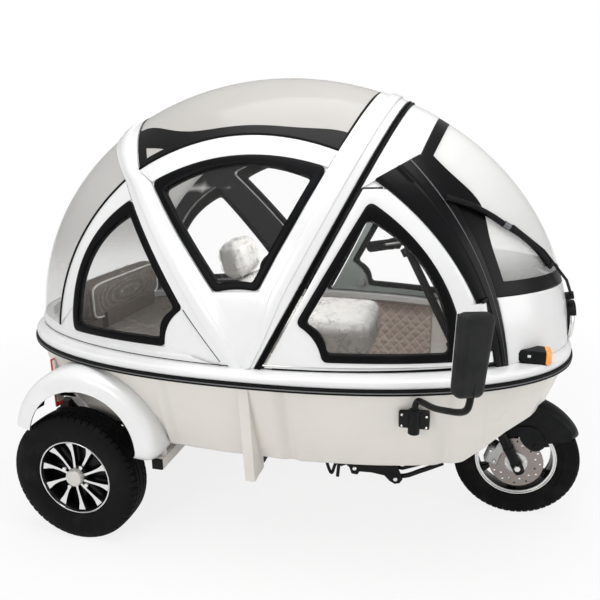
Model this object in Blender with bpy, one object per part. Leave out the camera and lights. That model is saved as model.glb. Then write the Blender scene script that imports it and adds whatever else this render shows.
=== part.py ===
"""Enclosed electric tricycle: an egg-shaped two-row cabin on three wheels.

Metres, +X forward, +Y to the vehicle's left, +Z up.  The origin lies on the ground, under the
middle of the bounding box.  Every piece is one closed body.
"""
import math

import bmesh
import bpy
from mathutils import Matrix, Vector

# ---------------------------------------------------------------- driving sizes
FIT = 0.0006                # gap between two pieces that seat on each other
GAP = 0.006                 # running gap round a moving panel

REAR_AXLE_X = -0.705
FRONT_AXLE_X = 0.878
REAR_TRACK = 1.072          # between the rear wheels' centre planes
REAR_R = 0.250
REAR_TYRE_W = 0.112
AXLE_TUBE_R = 0.032
TYRE_STEPS = 24
FRONT_R = 0.234
FRONT_TYRE_W = 0.096

# waist ring: a superellipse
WAIST_X = -0.038
WAIST_A = 1.068
WAIST_B = 0.628
WAIST_N = 2.25
FLANGE_Z = (0.705, 0.732)   # underside and top of the shell's flange
FLANGE_IN = 0.115
STRIP_Z = (0.686, 0.7044)   # rubber strip between flange and tub
STRIP_OUT = 0.006
STRIP_IN = 0.030

# egg: an ellipsoid standing on the waist
EGG_X = -0.045
EGG_Z = 0.700
EGG_A = WAIST_A - 0.004
EGG_B = WAIST_B - 0.058
EGG_C = 0.965
PANEL_T = 0.026             # shell, door and pillar panels
GLASS_T = 0.006
EGG_SIDES = 40
EGG_LEVELS = 8

# tub
TUB_FLOOR_Z = 0.385
TUB_T = 0.012
TUB_SIDES = 44
TUB_SECTIONS = (            # height, how far within the waist lengthwise and crosswise, exponent
    (TUB_FLOOR_Z, 0.168, 0.132, 2.6),
    (TUB_FLOOR_Z + 0.015, 0.143, 0.116, 2.6),
    (TUB_FLOOR_Z + 0.135, 0.078, 0.068, 2.5),
    (TUB_FLOOR_Z + 0.245, 0.033, 0.034, 2.35),
    (STRIP_Z[0] - 0.0004, 0.016, 0.016, 2.25),
)
ARCH_IN_Y = 0.440           # inner wall of the rear wheel houses
ARCH_X = REAR_AXLE_X + 0.070    # rear wheel arch, a circle in the side view
ARCH_Z = 0.400
ARCH_R = 0.284
ARCH_GAP = 0.002
REAR_FLOOR_Z = 0.425
FENDER_LIP = 0.072
TUNNEL_Y = 0.250            # front wheel tunnel
TUNNEL_X = FRONT_AXLE_X - FRONT_R - 0.099
TUNNEL_Z = 2 * FRONT_R + 0.090
NOSE_RAMP = (               # x, height over the front tyre's top: underside of the nose
    (0.660, -0.080), (0.735, -0.028), (0.800, 0.032), (0.900, 0.0672), (1.300, 0.0675))

# steering
RAKE = math.radians(27)
FORK_OFFSET = 0.030
LEG_Y = 0.088
LEG_R = 0.019
STEERER_R = 0.016
HEAD_R = 0.026
HEAD_LOW, HEAD_HIGH = 0.345, 0.520      # along the steering axis from its foot
BAR_AT = 0.900
CROWN_AT = 0.300
HEAD_PLATE_T = 0.0074

# door
DOOR_BOTTOM_Z = 0.744
DOOR_TOP_Z = 1.290
HINGE_Y = 0.408             # hinge axis, leaning back a little less than the pillar
HINGES = ((0.728, 0.775), (0.700, 0.930))     # x, z of the lower and the upper one
KNUCKLE_HALF = 0.016
KNUCKLE_R = 0.009
PIN_R = 0.004
HINGE_LUG = 0.010           # length of a pillar lug along the axis
LUG_GAP = 0.0015
HINGE_PLATE = 0.006
HINGE_SINK = 0.004
DOOR_LEAF = 0.056           # reach of the leaves behind and ahead of the axis
PILLAR_LEAF = 0.026

# outlines in the side view, x and z; each leg ends at a corner with its own bulge
SEAM = ((-0.062, 0.60), (0.500, 1.72), -0.014)          # front edge of the slanted hoop
HOOP_REAR = ((-0.085, 0.85), (0.375, 1.72), -0.030)     # its rear edge
SEAM_W = 0.020
HOOPS = (                   # front and rear edges of the crossed hoops, x and z, from the waist up
    (((0.005, 0.732), (0.105, 0.930), (0.212, 1.123), (0.289, 1.272), (0.357, 1.422), (0.488, 1.72)),
     ((-0.045, 0.732), (-0.012, 0.805), (0.0145, 0.978), (0.2085, 1.358), (0.300, 1.537), (0.375, 1.72))),
    (((0.000, 0.732), (-0.030, 0.800), (-0.1375, 0.969), (-0.4055, 1.3075), (-0.470, 1.345), (-0.640, 1.660)),
     ((-0.107, 0.732), (-0.2435, 0.908), (-0.4775, 1.2525), (-0.520, 1.310), (-0.705, 1.487),
      (-0.880, 1.660))),
)
BEAD = (0.46, 0.66)         # share of a hoop's width that its raised bead takes
BEAD_RISE = 0.0085
BEAD_SINK = 0.012
V_RECESS = (                # triangular recess below the centre window
    ((0.000, 0.930), 0.0), ((-0.032, 0.812), 0.0), ((-0.098, 0.925), 0.0))
RECESS = 0.0035

CENTRE_WINDOW = (
    # corner, bulge of the leg that follows it (outwards positive)
    ((-0.402, 1.309), 0.062),
    ((0.205, 1.356), 0.0),
    ((0.010, 0.981), -0.008),
    ((-0.134, 0.971), 0.0),
)
QUARTER_WINDOW = (
    ((-0.481, 1.251), 0.0),
    ((-0.247, 0.910), -0.022),
    ((-0.317, 0.778), 0.0),
    ((-0.742, 0.770), 0.004),
    ((-0.744, 0.860), 0.060),
)
DOOR_WINDOW = (
    ((0.340, 1.256), 0.070),
    ((0.655, 0.760), 0.0),
    ((0.218, 0.765), -0.020),
    ((0.133, 0.884), 0.0),
)
PILLAR_REAR = ((0.352, 1.318), (0.757, 0.680), 0.080)
PILLAR_FRONT = ((0.480, 1.390), (0.790, 0.700), 0.062)
WINDSCREEN_TOP = ((0.480, 1.390), (0.590, 1.680))
WINDSCREEN_FOOT_Z = 0.950
SKYLIGHT_EDGE = ((-0.470, 1.345), 1.405, 0.080)   # rear corner, front height, bulge
SKYLIGHT_REAR = ((-0.470, 1.345), (-0.640, 1.660))
REAR_GLASS_EDGE = ((-0.520, 1.310), (-0.835, 0.770), -0.060)
REAR_GLASS_TOP = ((-0.520, 1.310), (-0.800, 1.580))
REAR_GLASS_FOOT_Z = 0.775
RIM_W = 0.032               # black rubber rim round a window
RIM_PROUD = 0.005
CORNER_R = 0.022

WHITE = (0.88, 0.88, 0.87)
CREAM = (0.74, 0.72, 0.68)
BLACK = (0.012, 0.012, 0.014)
GLASS = (0.75, 0.77, 0.77)
SILVER = (0.62, 0.62, 0.61)


# ---------------------------------------------------------------- small tools
def clear_scene():
    for obj in list(bpy.data.objects):
        bpy.data.objects.remove(obj)


def material(name, colour, roughness, metallic=0.0):
    mat = bpy.data.materials.get(name) or bpy.data.materials.new(name)
    mat.use_nodes = True
    shader = mat.node_tree.nodes["Principled BSDF"]
    shader.inputs["Base Color"].default_value = (*colour, 1)
    shader.inputs["Roughness"].default_value = roughness
    shader.inputs["Metallic"].default_value = metallic
    return mat


def finishes():
    return {
        "white": material("white_gelcoat", WHITE, 0.22),
        "cream": material("cream_gelcoat", CREAM, 0.30),
        "rubber": material("black_rubber", BLACK, 0.60),
        "black": material("black_paint", BLACK, 0.35),
        "glass": material("clear_glass", GLASS, 0.03),
        "tyre": material("tyre_rubber", (0.02, 0.02, 0.02), 0.80),
        "alloy": material("cast_alloy", SILVER, 0.30, 1.0),
        "steel": material("steel", (0.45, 0.45, 0.45), 0.35, 1.0),
        "vinyl": material("cream_vinyl", (0.80, 0.77, 0.70), 0.45),
        "cloth": material("brown_cloth", (0.40, 0.34, 0.30), 0.85),
        "grey": material("grey_plastic", (0.42, 0.43, 0.42), 0.55),
        "lens": material("lamp_lens", (0.90, 0.45, 0.08), 0.15),
        "red": material("red_lens", (0.60, 0.02, 0.02), 0.15),
    }


def solid(name, points, faces, mat=None):
    mesh = bpy.data.meshes.new(name)
    mesh.from_pydata([tuple(p) for p in points], [], faces)
    bm = bmesh.new()
    bm.from_mesh(mesh)
    bmesh.ops.remove_doubles(bm, verts=bm.verts, dist=1e-6)
    bmesh.ops.recalc_face_normals(bm, faces=bm.faces)
    bm.to_mesh(mesh)
    bm.free()
    obj = bpy.data.objects.new(name, mesh)
    bpy.context.collection.objects.link(obj)
    if mat:
        mesh.materials.append(mat)
    return obj


def combine(obj, other, operation):
    """Boolean of obj with other, which is used up."""
    mod = obj.modifiers.new(operation, 'BOOLEAN')
    mod.object = other
    mod.operation = operation
    mod.solver = 'EXACT'
    bpy.context.view_layer.update()
    graph = bpy.context.evaluated_depsgraph_get()
    mesh = bpy.data.meshes.new_from_object(obj.evaluated_get(graph))
    obj.modifiers.clear()
    obj.data = mesh
    bpy.data.objects.remove(other)
    return obj


def cut(obj, *cutters):
    for cutter in cutters:
        combine(obj, cutter, 'DIFFERENCE')
    return obj


def join(obj, *others):
    for other in others:
        combine(obj, other, 'UNION')
    return obj


def common(obj, other):
    return combine(obj, other, 'INTERSECT')


def finish(obj, name, mat, angle=30):
    obj.name = name
    obj.data.name = name
    obj.data.materials.clear()
    obj.data.materials.append(mat)
    obj.data.shade_smooth()
    obj.data.set_sharp_from_angle(angle=math.radians(angle))
    return obj


def mirrored(obj, name):
    """A copy of obj on the other side of the middle plane."""
    mesh = obj.data.copy()
    mesh.transform(Matrix.Scale(-1, 4, (0, 1, 0)))
    mesh.flip_normals()
    copy = bpy.data.objects.new(name, mesh)
    mesh.name = name
    bpy.context.collection.objects.link(copy)
    return copy


def box(x0, x1, y0, y1, z0, z1):
    points = [(x, y, z) for x in (x0, x1) for y in (y0, y1) for z in (z0, z1)]
    faces = [(0, 1, 3, 2), (4, 6, 7, 5), (0, 4, 5, 1), (2, 3, 7, 6), (0, 2, 6, 4), (1, 5, 7, 3)]
    return solid("box", points, faces)


def loft(rings, name="loft"):
    """Closed body through closed rings of the same number of points, with flat ends."""
    count = len(rings[0])
    points = [p for ring in rings for p in ring]
    faces = [tuple(range(count)), tuple((len(rings) - 1) * count + i for i in range(count))]
    for level in range(len(rings) - 1):
        for i in range(count):
            j = (i + 1) % count
            low, high = level * count, (level + 1) * count
            faces.append((low + i, low + j, high + j, high + i))
    return solid(name, points, faces)


def ring_loft(sections, name="ring"):
    """Closed body through closed rings that come back to the first one: a turned or bent ring."""
    count = len(sections[0])
    points = [p for ring in sections for p in ring]
    faces = []
    for level in range(len(sections)):
        nxt = (level + 1) % len(sections)
        for i in range(count):
            j = (i + 1) % count
            faces.append((level * count + i, level * count + j, nxt * count + j, nxt * count + i))
    return solid(name, points, faces)


def prism(outline, y0, y1):
    """Side-view outline (x, z) run along Y."""
    return loft([[(x, y0, z) for x, z in outline], [(x, y1, z) for x, z in outline]], "prism")


def frame_on(axis):
    """Two unit vectors square to axis."""
    axis = Vector(axis).normalized()
    side = axis.orthogonal().normalized()
    return side, axis.cross(side)


def rod(start, end, radius, sides=16):
    start, end = Vector(start), Vector(end)
    u, v = frame_on(end - start)
    rings = []
    for point in (start, end):
        rings.append([point + (u * math.cos(a) + v * math.sin(a)) * radius
                      for a in (2 * math.pi * i / sides for i in range(sides))])
    return loft(rings, "rod")


def bent_tube(points, radius, sides=10):
    """Round tube through points, mitred at each bend."""
    points = [Vector(p) for p in points]
    rings = []
    side = None
    for i, point in enumerate(points):
        before = (point - points[i - 1]).normalized() if i else None
        after = (points[i + 1] - point).normalized() if i + 1 < len(points) else None
        tangent = ((before or after) + (after or before)).normalized()
        side = frame_on(tangent)[0] if side is None else (side - tangent * side.dot(tangent)).normalized()
        up = tangent.cross(side)
        rings.append([point + (side * math.cos(a) + up * math.sin(a)) * radius
                      for a in (2 * math.pi * k / sides for k in range(sides))])
    return loft(rings, "tube")


def square_tube(start, end, width, height):
    """Solid bar of width by height between two points; its height stands as near Z as it can."""
    start, end = Vector(start), Vector(end)
    along = (end - start).normalized()
    up = Vector((0, 0, 1)) if abs(along.z) < 0.9 else Vector((1, 0, 0))
    side = along.cross(up).normalized()
    up = side.cross(along)
    rings = []
    for point in (start, end):
        rings.append([point + side * a * width / 2 + up * b * height / 2
                      for a, b in ((-1, -1), (1, -1), (1, 1), (-1, 1))])
    return loft(rings, "bar")


def turned(profile, centre, steps):
    """Profile of (radius, y from centre) turned round the line along Y through centre."""
    sections = []
    for i in range(steps):
        a = 2 * math.pi * i / steps
        ring = []
        for r, along in profile:
            p = Vector((r * math.cos(a), along, r * math.sin(a)))
            ring.append(p + Vector(centre))
        sections.append(ring)
    return ring_loft(sections, "turned")


def bow(start, end, bulge, count=10):
    """Points from start towards end (end left out), bowed to the left of the way by bulge."""
    (x0, z0), (x1, z1) = start, end
    length = math.hypot(x1 - x0, z1 - z0)
    nx, nz = -(z1 - z0) / length, (x1 - x0) / length
    steps = count if bulge else 1
    points = []
    for i in range(steps):
        t = i / steps
        rise = 4 * bulge * t * (1 - t)
        points.append((x0 + (x1 - x0) * t + nx * rise, z0 + (z1 - z0) * t + nz * rise))
    return points


def trimmed(points, start_cut, end_cut):
    """Open line of points, cut back by a length at each end."""
    for cut_back in (start_cut, end_cut):
        points = list(points)
        left = cut_back
        while len(points) > 2 and math.dist(points[0], points[1]) <= left:
            left -= math.dist(points[0], points[1])
            points.pop(0)
        share = left / math.dist(points[0], points[1])
        points[0] = tuple(p + (q - p) * share for p, q in zip(points[0], points[1]))
        points.reverse()
    return points


def outline(corners, inset=0.0, radius=CORNER_R):
    """Closed outline from corners that run clockwise, each with its next leg's bulge.

    The corners are set in first, then joined by bowed legs and rounded.
    """
    places = offset([c for c, _ in corners], -inset) if inset else [c for c, _ in corners]
    count = len(places)
    legs = [bow(places[i], places[(i + 1) % count], corners[i][1], 7) + [places[(i + 1) % count]]
            for i in range(count)]
    cuts = []
    for i in range(count):
        a = Vector(legs[i - 1][-2]) - Vector(places[i])
        b = Vector(legs[i][1]) - Vector(places[i])
        shortest = min(math.dist(places[i - 1], places[i]), math.dist(places[i], places[(i + 1) % count]))
        cuts.append(min(radius / math.tan(a.angle(b) / 2), 0.4 * shortest))
    points = []
    for i, line in enumerate(legs):
        nxt = (i + 1) % count
        points += trimmed(line, cuts[i], cuts[nxt])
        end = Vector(points[-1])
        follow = Vector(trimmed(legs[nxt], cuts[nxt], cuts[(nxt + 1) % count])[0])
        for k in (1, 2):
            t = k / 3
            p = end * (1 - t) ** 2 + Vector(places[nxt]) * 2 * t * (1 - t) + follow * t * t
            points.append(tuple(p))
    return points


def signed_area(points):
    return 0.5 * sum(points[i - 1][0] * p[1] - p[0] * points[i - 1][1] for i, p in enumerate(points))


def offset(points, distance):
    """Outline grown by distance, or shrunk if negative, with its corners mitred."""
    turn = 1 if signed_area(points) > 0 else -1
    result = []
    count = len(points)
    for i, (x, z) in enumerate(points):
        before, after = points[i - 1], points[(i + 1) % count]
        a = Vector((x - before[0], z - before[1])).normalized()
        b = Vector((after[0] - x, after[1] - z)).normalized()
        na, nb = Vector((a.y, -a.x)) * turn, Vector((b.y, -b.x)) * turn
        n = (na + nb).normalized()
        scale = distance / max(0.35, n.dot(na))
        result.append((x + n.x * scale, z + n.y * scale))
    return result


def superellipse(cx, a, b, n, z, count):
    ring = []
    for i in range(count):
        t = 2 * math.pi * i / count
        c, s = math.cos(t), math.sin(t)
        ring.append((cx + a * math.copysign(abs(c) ** (2 / n), c),
                     b * math.copysign(abs(s) ** (2 / n), s), z))
    return ring


# ---------------------------------------------------------------- egg surfaces
def egg_half_width(x, z, out=0.0):
    """Half width of the egg at x and z; out moves its surface outwards."""
    u = (x - EGG_X) / (EGG_A + out)
    w = (z - EGG_Z) / (EGG_C + out)
    return (EGG_B + out) * math.sqrt(max(0.0, 1 - u * u - w * w))


def egg_skin(out, thickness, foot_z):
    """Open-bottomed egg shell: outer surface moved out, wall of thickness, cut at foot_z."""
    def level_ring(offset_out, k):
        a, b, c = EGG_A + offset_out, EGG_B + offset_out, EGG_C + offset_out
        low = math.asin((foot_z - EGG_Z) / c)
        phi = low + (math.pi / 2 - low) * k / EGG_LEVELS
        return [(EGG_X + a * math.cos(phi) * math.cos(t), b * math.cos(phi) * math.sin(t),
                 EGG_Z + c * math.sin(phi))
                for t in (2 * math.pi * i / EGG_SIDES for i in range(EGG_SIDES))]

    outer = [level_ring(out, k) for k in range(EGG_LEVELS)]
    inner = [level_ring(out - thickness, k) for k in range(EGG_LEVELS)]
    points = [p for ring in outer + inner for p in ring]
    top_out, top_in = len(points), len(points) + 1
    points += [(EGG_X, 0, EGG_Z + EGG_C + out), (EGG_X, 0, EGG_Z + EGG_C + out - thickness)]
    faces = []
    shift = EGG_LEVELS * EGG_SIDES
    for i in range(EGG_SIDES):
        j = (i + 1) % EGG_SIDES
        for k in range(EGG_LEVELS - 1):
            a, b = k * EGG_SIDES, (k + 1) * EGG_SIDES
            faces.append((a + i, a + j, b + j, b + i))
            faces.append((shift + a + j, shift + a + i, shift + b + i, shift + b + j))
        last = (EGG_LEVELS - 1) * EGG_SIDES
        faces.append((last + i, last + j, top_out))
        faces.append((shift + last + j, shift + last + i, top_in))
        faces.append((j, i, shift + i, shift + j))
    return solid("skin", points, faces)


def leg(edge, count=12):
    """All points of a bowed edge, both ends included."""
    start, end = edge[0], edge[1]
    bulge = edge[2] if len(edge) > 2 else 0.0
    return bow(start, end, bulge, count) + [end]


def beside(edge, distance, count=12):
    """A bowed edge moved to the left of its way by distance."""
    points = leg(edge, count)
    moved = []
    for i, p in enumerate(points):
        a, b = points[max(i - 1, 0)], points[min(i + 1, len(points) - 1)]
        length = math.dist(a, b)
        moved.append((p[0] - (b[1] - a[1]) / length * distance, p[1] + (b[0] - a[0]) / length * distance))
    return moved


def between(line, low, high):
    """The stretch of a line of points between two heights, with its ends on them."""
    result = []
    for a, b in zip(line, line[1:]):
        for p, q in ((a, b), (b, a)):
            for z in (low, high):
                if p[1] < z < q[1]:
                    share = (z - p[1]) / (q[1] - p[1])
                    result.append((p[0] + (q[0] - p[0]) * share, z))
        if low <= b[1] <= high:
            result.append(b)
    if low <= line[0][1] <= high:
        result.insert(0, line[0])
    rising = line[-1][1] > line[0][1]
    return sorted(result, key=lambda p: p[1], reverse=not rising)


def x_at(edge, z):
    """Where a bowed edge passes height z."""
    return between(leg(edge), z, z + 1e-6)[0][0]


def region(name):
    """Side-view outline of one panel of the egg."""
    far, low = EGG_Z + 1.2, EGG_Z - 0.2
    if name == "behind_seam":
        edge = beside(SEAM, SEAM_W / 2 + FIT)
        return edge + [(SEAM[1][0], far), (-far, far), (-far, low), (SEAM[0][0], low)]
    if name == "seam":
        return beside(SEAM, SEAM_W / 2) + beside(SEAM, -SEAM_W / 2)[::-1]
    if name == "ahead_of_seam":
        edge = beside(SEAM, -SEAM_W / 2 - FIT)
        return edge + [(SEAM[1][0], far), (far, far), (far, low), (SEAM[0][0], low)]
    if name == "skylight":
        rear_corner, front_z, bulge = SKYLIGHT_EDGE
        front_corner = (x_at(HOOP_REAR, front_z), front_z)
        front = [p for p in leg(HOOP_REAR) if p[1] > front_z + 0.02]
        return (bow(rear_corner, front_corner, bulge) + [front_corner] + front
                + [(HOOP_REAR[1][0], far), (SKYLIGHT_REAR[1][0], far), SKYLIGHT_REAR[1]])
    if name == "rear_glass":
        return (leg(REAR_GLASS_EDGE) + [(-far, REAR_GLASS_FOOT_Z), (-far, far),
                                        (REAR_GLASS_TOP[1][0], far), REAR_GLASS_TOP[1]])
    if name == "windscreen":
        side = between(leg(PILLAR_FRONT), WINDSCREEN_FOOT_Z, PILLAR_FRONT[0][1])
        return ([WINDSCREEN_TOP[1]] + side
                + [(far, WINDSCREEN_FOOT_Z), (far, far), (WINDSCREEN_TOP[1][0], far)])
    if name == "pillar":
        return leg(PILLAR_REAR) + leg(PILLAR_FRONT)[::-1]
    raise ValueError(name)


def blended(front, back, share):
    """Line at a share of the way from one edge to the other, corner by corner."""
    return [(a[0] + (b[0] - a[0]) * share, a[1] + (b[1] - a[1]) * share) for a, b in zip(front, back)]


def panel(name, out=0.0, thickness=PANEL_T, foot_z=FLANGE_Z[1] + FIT, grow=-FIT / 2):
    skin = egg_skin(out, thickness, foot_z)
    return common(skin, prism(offset(region(name), grow), -1, 1))


def through(points, grow=0.0):
    """Cutter along Y on both sides."""
    return prism(offset(points, grow), -1, 1)


def window(corners, side, out=RIM_PROUD):
    """Pane with a thick rubber rim round it, on one side of the egg."""
    rim = common(egg_skin(out, PANEL_T + out - 0.004, FLANGE_Z[1]), prism(outline(corners, FIT), 0, side))
    hole = prism(outline(corners, RIM_W, CORNER_R * 0.7), 0, side)
    pane = common(egg_skin(-0.004, GLASS_T, FLANGE_Z[1]),
                  prism(outline(corners, RIM_W - 0.006, CORNER_R * 0.7), 0, side))
    return join(cut(rim, hole), pane)


# ---------------------------------------------------------------- body
def build_shells(mat):
    windows = [outline(c) for c in (CENTRE_WINDOW, QUARTER_WINDOW)]
    rear = panel("behind_seam", grow=0)
    rear = cut(rear, through(region("skylight")), through(region("rear_glass")))
    for w in windows:
        rear = cut(rear, through(w))
    rear = cut(rear, common(egg_skin(0.010, 0.010 + RECESS, FLANGE_Z[1]), through(outline(V_RECESS))))
    for front, back in HOOPS:
        strip = prism(blended(front, back, BEAD[0]) + blended(front, back, BEAD[1])[::-1], -1, 1)
        rear = join(rear, common(egg_skin(BEAD_RISE, BEAD_RISE + BEAD_SINK, FLANGE_Z[1] + FIT), strip))
    finish(rear, "rear_shell", mat["white"])

    seal = panel("seam", out=0.004, thickness=PANEL_T + 0.002, grow=0)
    finish(seal, "hoop_seal", mat["rubber"])

    door_hole = offset(door_outline(), GAP)

    def front_part(score):
        front = panel("ahead_of_seam", grow=0)
        front = cut(front, through(region("windscreen"), 0.0002), through(region("pillar"), 0.0005),
                    through(door_hole))
        return keep_piece(front, score)

    finish(front_part(lambda v: v.co.z), "roof_header", mat["white"])
    finish(front_part(lambda v: v.co.x), "nose_cowl", mat["white"])

    skylight = panel("skylight", out=0.004, thickness=GLASS_T)
    finish(skylight, "skylight", mat["glass"])
    rear_glass = panel("rear_glass", out=0.004, thickness=GLASS_T)
    finish(rear_glass, "rear_window", mat["glass"])
    screen = panel("windscreen", out=0.004, thickness=GLASS_T)
    finish(screen, "windscreen", mat["glass"])

    skin = egg_skin(0.006, PANEL_T + 0.004, FLANGE_Z[1] + FIT)
    pillar = common(skin, prism(offset(region("pillar"), -FIT / 2), -1, 0))
    pillar = keep_piece(cut(pillar, through(door_hole)), lambda v: v.co.z)
    for hinge in HINGES:
        lug_at = KNUCKLE_HALF + LUG_GAP + HINGE_LUG / 2
        end = lug_at + HINGE_LUG / 2
        pillar = join(pillar, rod(hinge_point(hinge, -end), hinge_point(hinge, end), PIN_R, 16))
        for along in (-lug_at, lug_at):
            pillar = join(pillar, hinge_leaf(hinge, along, PILLAR_LEAF, HINGE_LUG))
    finish(pillar, "pillar_right", mat["black"])
    finish(mirrored(pillar, "pillar_left"), "pillar_left", mat["black"])


def separate(obj):
    """The loose bodies of obj, as objects."""
    bm = bmesh.new()
    bm.from_mesh(obj.data)
    bm.verts.ensure_lookup_table()
    seen, groups = set(), []
    for vert in bm.verts:
        if vert.index in seen:
            continue
        stack, group = [vert], set()
        while stack:
            v = stack.pop()
            if v.index in group:
                continue
            group.add(v.index)
            stack += [e.other_vert(v) for e in v.link_edges if e.other_vert(v).index not in group]
        seen |= group
        groups.append(group)
    bm.free()
    pieces = []
    for group in groups:
        order = {old: new for new, old in enumerate(sorted(group))}
        points = [obj.data.vertices[i].co.copy() for i in sorted(group)]
        faces = [tuple(order[i] for i in p.vertices) for p in obj.data.polygons if p.vertices[0] in group]
        pieces.append(solid("piece", points, faces))
    bpy.data.objects.remove(obj)
    return pieces


def keep_piece(obj, score):
    """The loose body of obj that reaches furthest by score; the rest is dropped."""
    pieces = separate(obj)
    pieces.sort(key=lambda o: max(score(v) for v in o.data.vertices))
    for extra in pieces[:-1]:
        bpy.data.objects.remove(extra)
    return pieces[-1]


def door_outline():
    rear = between(beside(SEAM, -SEAM_W / 2 - GAP), DOOR_BOTTOM_Z, DOOR_TOP_Z)
    front = between(leg(PILLAR_REAR), DOOR_BOTTOM_Z, DOOR_TOP_Z)
    return rear + front


HINGE_ALONG = Vector((HINGES[1][0] - HINGES[0][0], 0, HINGES[1][1] - HINGES[0][1])).normalized()


def hinge_point(hinge, along):
    return Vector((hinge[0], -HINGE_Y, hinge[1])) + HINGE_ALONG * along


def panel_point(x, z, out):
    return Vector((x, -egg_half_width(x, z, out), z))


def hinge_leaf(hinge, along, reach, width):
    """Flat arm from the hinge axis to the panel, reach ahead of it."""
    start = hinge_point(hinge, along)
    end = panel_point(start.x + HINGE_ALONG.z * reach, start.z - HINGE_ALONG.x * reach, -HINGE_SINK)
    out = (end - start).cross(HINGE_ALONG).normalized()
    rings = []
    for point in (start, end):
        rings.append([point + HINGE_ALONG * a * width / 2 + out * b * HINGE_PLATE / 2
                      for a, b in ((-1, -1), (1, -1), (1, 1), (-1, 1))])
    return loft(rings, "leaf")


def build_doors(mat):
    skin = egg_skin(0.0, PANEL_T, FLANGE_Z[1])
    leaf = common(skin, prism(door_outline(), -1, 0))
    leaf = cut(leaf, through(outline(DOOR_WINDOW)))
    for hinge in HINGES:
        knuckle = rod(hinge_point(hinge, -KNUCKLE_HALF), hinge_point(hinge, KNUCKLE_HALF), KNUCKLE_R, 16)
        leaf = join(leaf, knuckle, hinge_leaf(hinge, 0, -DOOR_LEAF, 2 * KNUCKLE_HALF))
        leaf = cut(leaf, rod(hinge_point(hinge, -0.05), hinge_point(hinge, 0.05), PIN_R + FIT, 16))
    finish(leaf, "door_right", mat["white"])
    finish(mirrored(leaf, "door_left"), "door_left", mat["white"])


def build_windows(mat):
    for stem, corners in (("centre_window", CENTRE_WINDOW), ("quarter_window", QUARTER_WINDOW),
                          ("door_window", DOOR_WINDOW)):
        pane = window(corners, -1)
        finish(pane, stem + "_right", mat["glass"])
        finish(mirrored(pane, stem + "_left"), stem + "_left", mat["glass"])


def build_waist(mat):
    def band(out_low, out_high, inset, z0, z1):
        rings = []
        for inward, z in ((-out_low, z0), (-out_high, z1), (inset, z1), (inset, z0)):
            rings.append(superellipse(WAIST_X, WAIST_A - inward, WAIST_B - inward, WAIST_N, z, TUB_SIDES))
        return ring_loft(rings, "band")

    flange = band(0, 0, FLANGE_IN, *FLANGE_Z)
    finish(flange, "waist_flange", mat["white"])
    strip = band(STRIP_OUT, STRIP_OUT, STRIP_IN, *STRIP_Z)
    finish(strip, "waist_strip", mat["rubber"])


def tub_loft(inset, floor_z):
    """The tub's outer form moved inwards, from floor_z up; the inner ones run out of its top."""
    rings = []
    for i, (z, in_a, in_b, n) in enumerate(TUB_SECTIONS):
        following = TUB_SECTIONS[min(i + 1, len(TUB_SECTIONS) - 1)][0]
        if z < floor_z and following <= floor_z:
            continue
        top = z == TUB_SECTIONS[-1][0]
        height = z + 0.05 if top and inset > 0 else max(z, floor_z)
        rings.append(superellipse(WAIST_X, WAIST_A - in_a - inset, WAIST_B - in_b - inset, n, height,
                                  TUB_SIDES))
    return loft(rings, "tub")


def tub_voids(grow):
    """Wheel houses, front wheel tunnel and the space over the axle, each grown by a wall."""
    arches = []
    radius = ARCH_R + ARCH_GAP + grow
    top = FLANGE_Z[0] + 0.1
    end = 2 * WAIST_A
    for side in (-1, 1):
        near, far = side * (ARCH_IN_Y - grow), side * WAIST_A
        ys = sorted((near, far))
        arches.append(rod((ARCH_X, near, ARCH_Z), (ARCH_X, far, ARCH_Z), radius, 48))
        arches.append(box(-end, ARCH_X, ys[0], ys[1], 0.2, top))
        arches.append(box(0.1 - end, ARCH_X + radius, ys[0], ys[1], 0.19, ARCH_Z))
    rear = box(-end - 0.1, ARCH_X + radius, -WAIST_A, WAIST_A, 0.18, REAR_FLOOR_Z + grow)
    tunnel = box(TUNNEL_X - grow, end, -TUNNEL_Y - grow, TUNNEL_Y + grow, 0.2, TUNNEL_Z + grow)
    roof = [(x, 2 * FRONT_R + over) for x, over in NOSE_RAMP]
    ramp = prism(offset([(roof[0][0], 0.30)] + roof + [(roof[-1][0], 0.30)], grow), -0.9, 0.9)
    return arches + [rear, tunnel, ramp]


def build_tub(mat):
    tub = cut(tub_loft(0, TUB_FLOOR_Z), *tub_voids(0))
    hollow = cut(tub_loft(TUB_T, TUB_FLOOR_Z + TUB_T), *tub_voids(TUB_T))
    tub = cut(tub, hollow)
    foot, head = steering_point(HEAD_LOW - 0.08), steering_point(HEAD_HIGH + 0.2)
    tub = cut(tub, rod(foot, head, HEAD_R + FIT, 24))
    finish(tub, "tub", mat["cream"])


# ---------------------------------------------------------------- wheel sizes
HUB_HALF = 0.030
REAR_BEAD_R = 0.146
FRONT_BEAD_R = 0.152
REAR_HUB_R, FRONT_HUB_R = 0.040, 0.034
REAR_SHAFT_R, FRONT_SHAFT_R = 0.0150, 0.0085
SHAFT_ROOM = 0.0005
REAR_SPOKES, FRONT_SPOKES = 10, 6
SPOKE_ROOT = (0.011, -0.006, 0.022)     # half width, inner and outer face
SPOKE_TIP = (0.016, 0.0, 0.020)
DISC_Y = 0.060
DISC_R = 0.100
DISC_T = 0.004
DISC_HOLES = (              # radius, count, first angle
    (0.088, 12, 0), (0.072, 12, 15))
DISC_HOLE_R = 0.0045


# ---------------------------------------------------------------- steering
AXIS = Vector((-math.sin(RAKE), 0, math.cos(RAKE)))
AHEAD = Vector((math.cos(RAKE), 0, math.sin(RAKE)))
FRONT_AXLE = Vector((FRONT_AXLE_X, 0, FRONT_R))
STEER_FOOT = FRONT_AXLE - AHEAD * FORK_OFFSET


def axis_x(z):
    """Where the steering axis passes height z."""
    return STEER_FOOT.x - (z - STEER_FOOT.z) * math.tan(RAKE)


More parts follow.
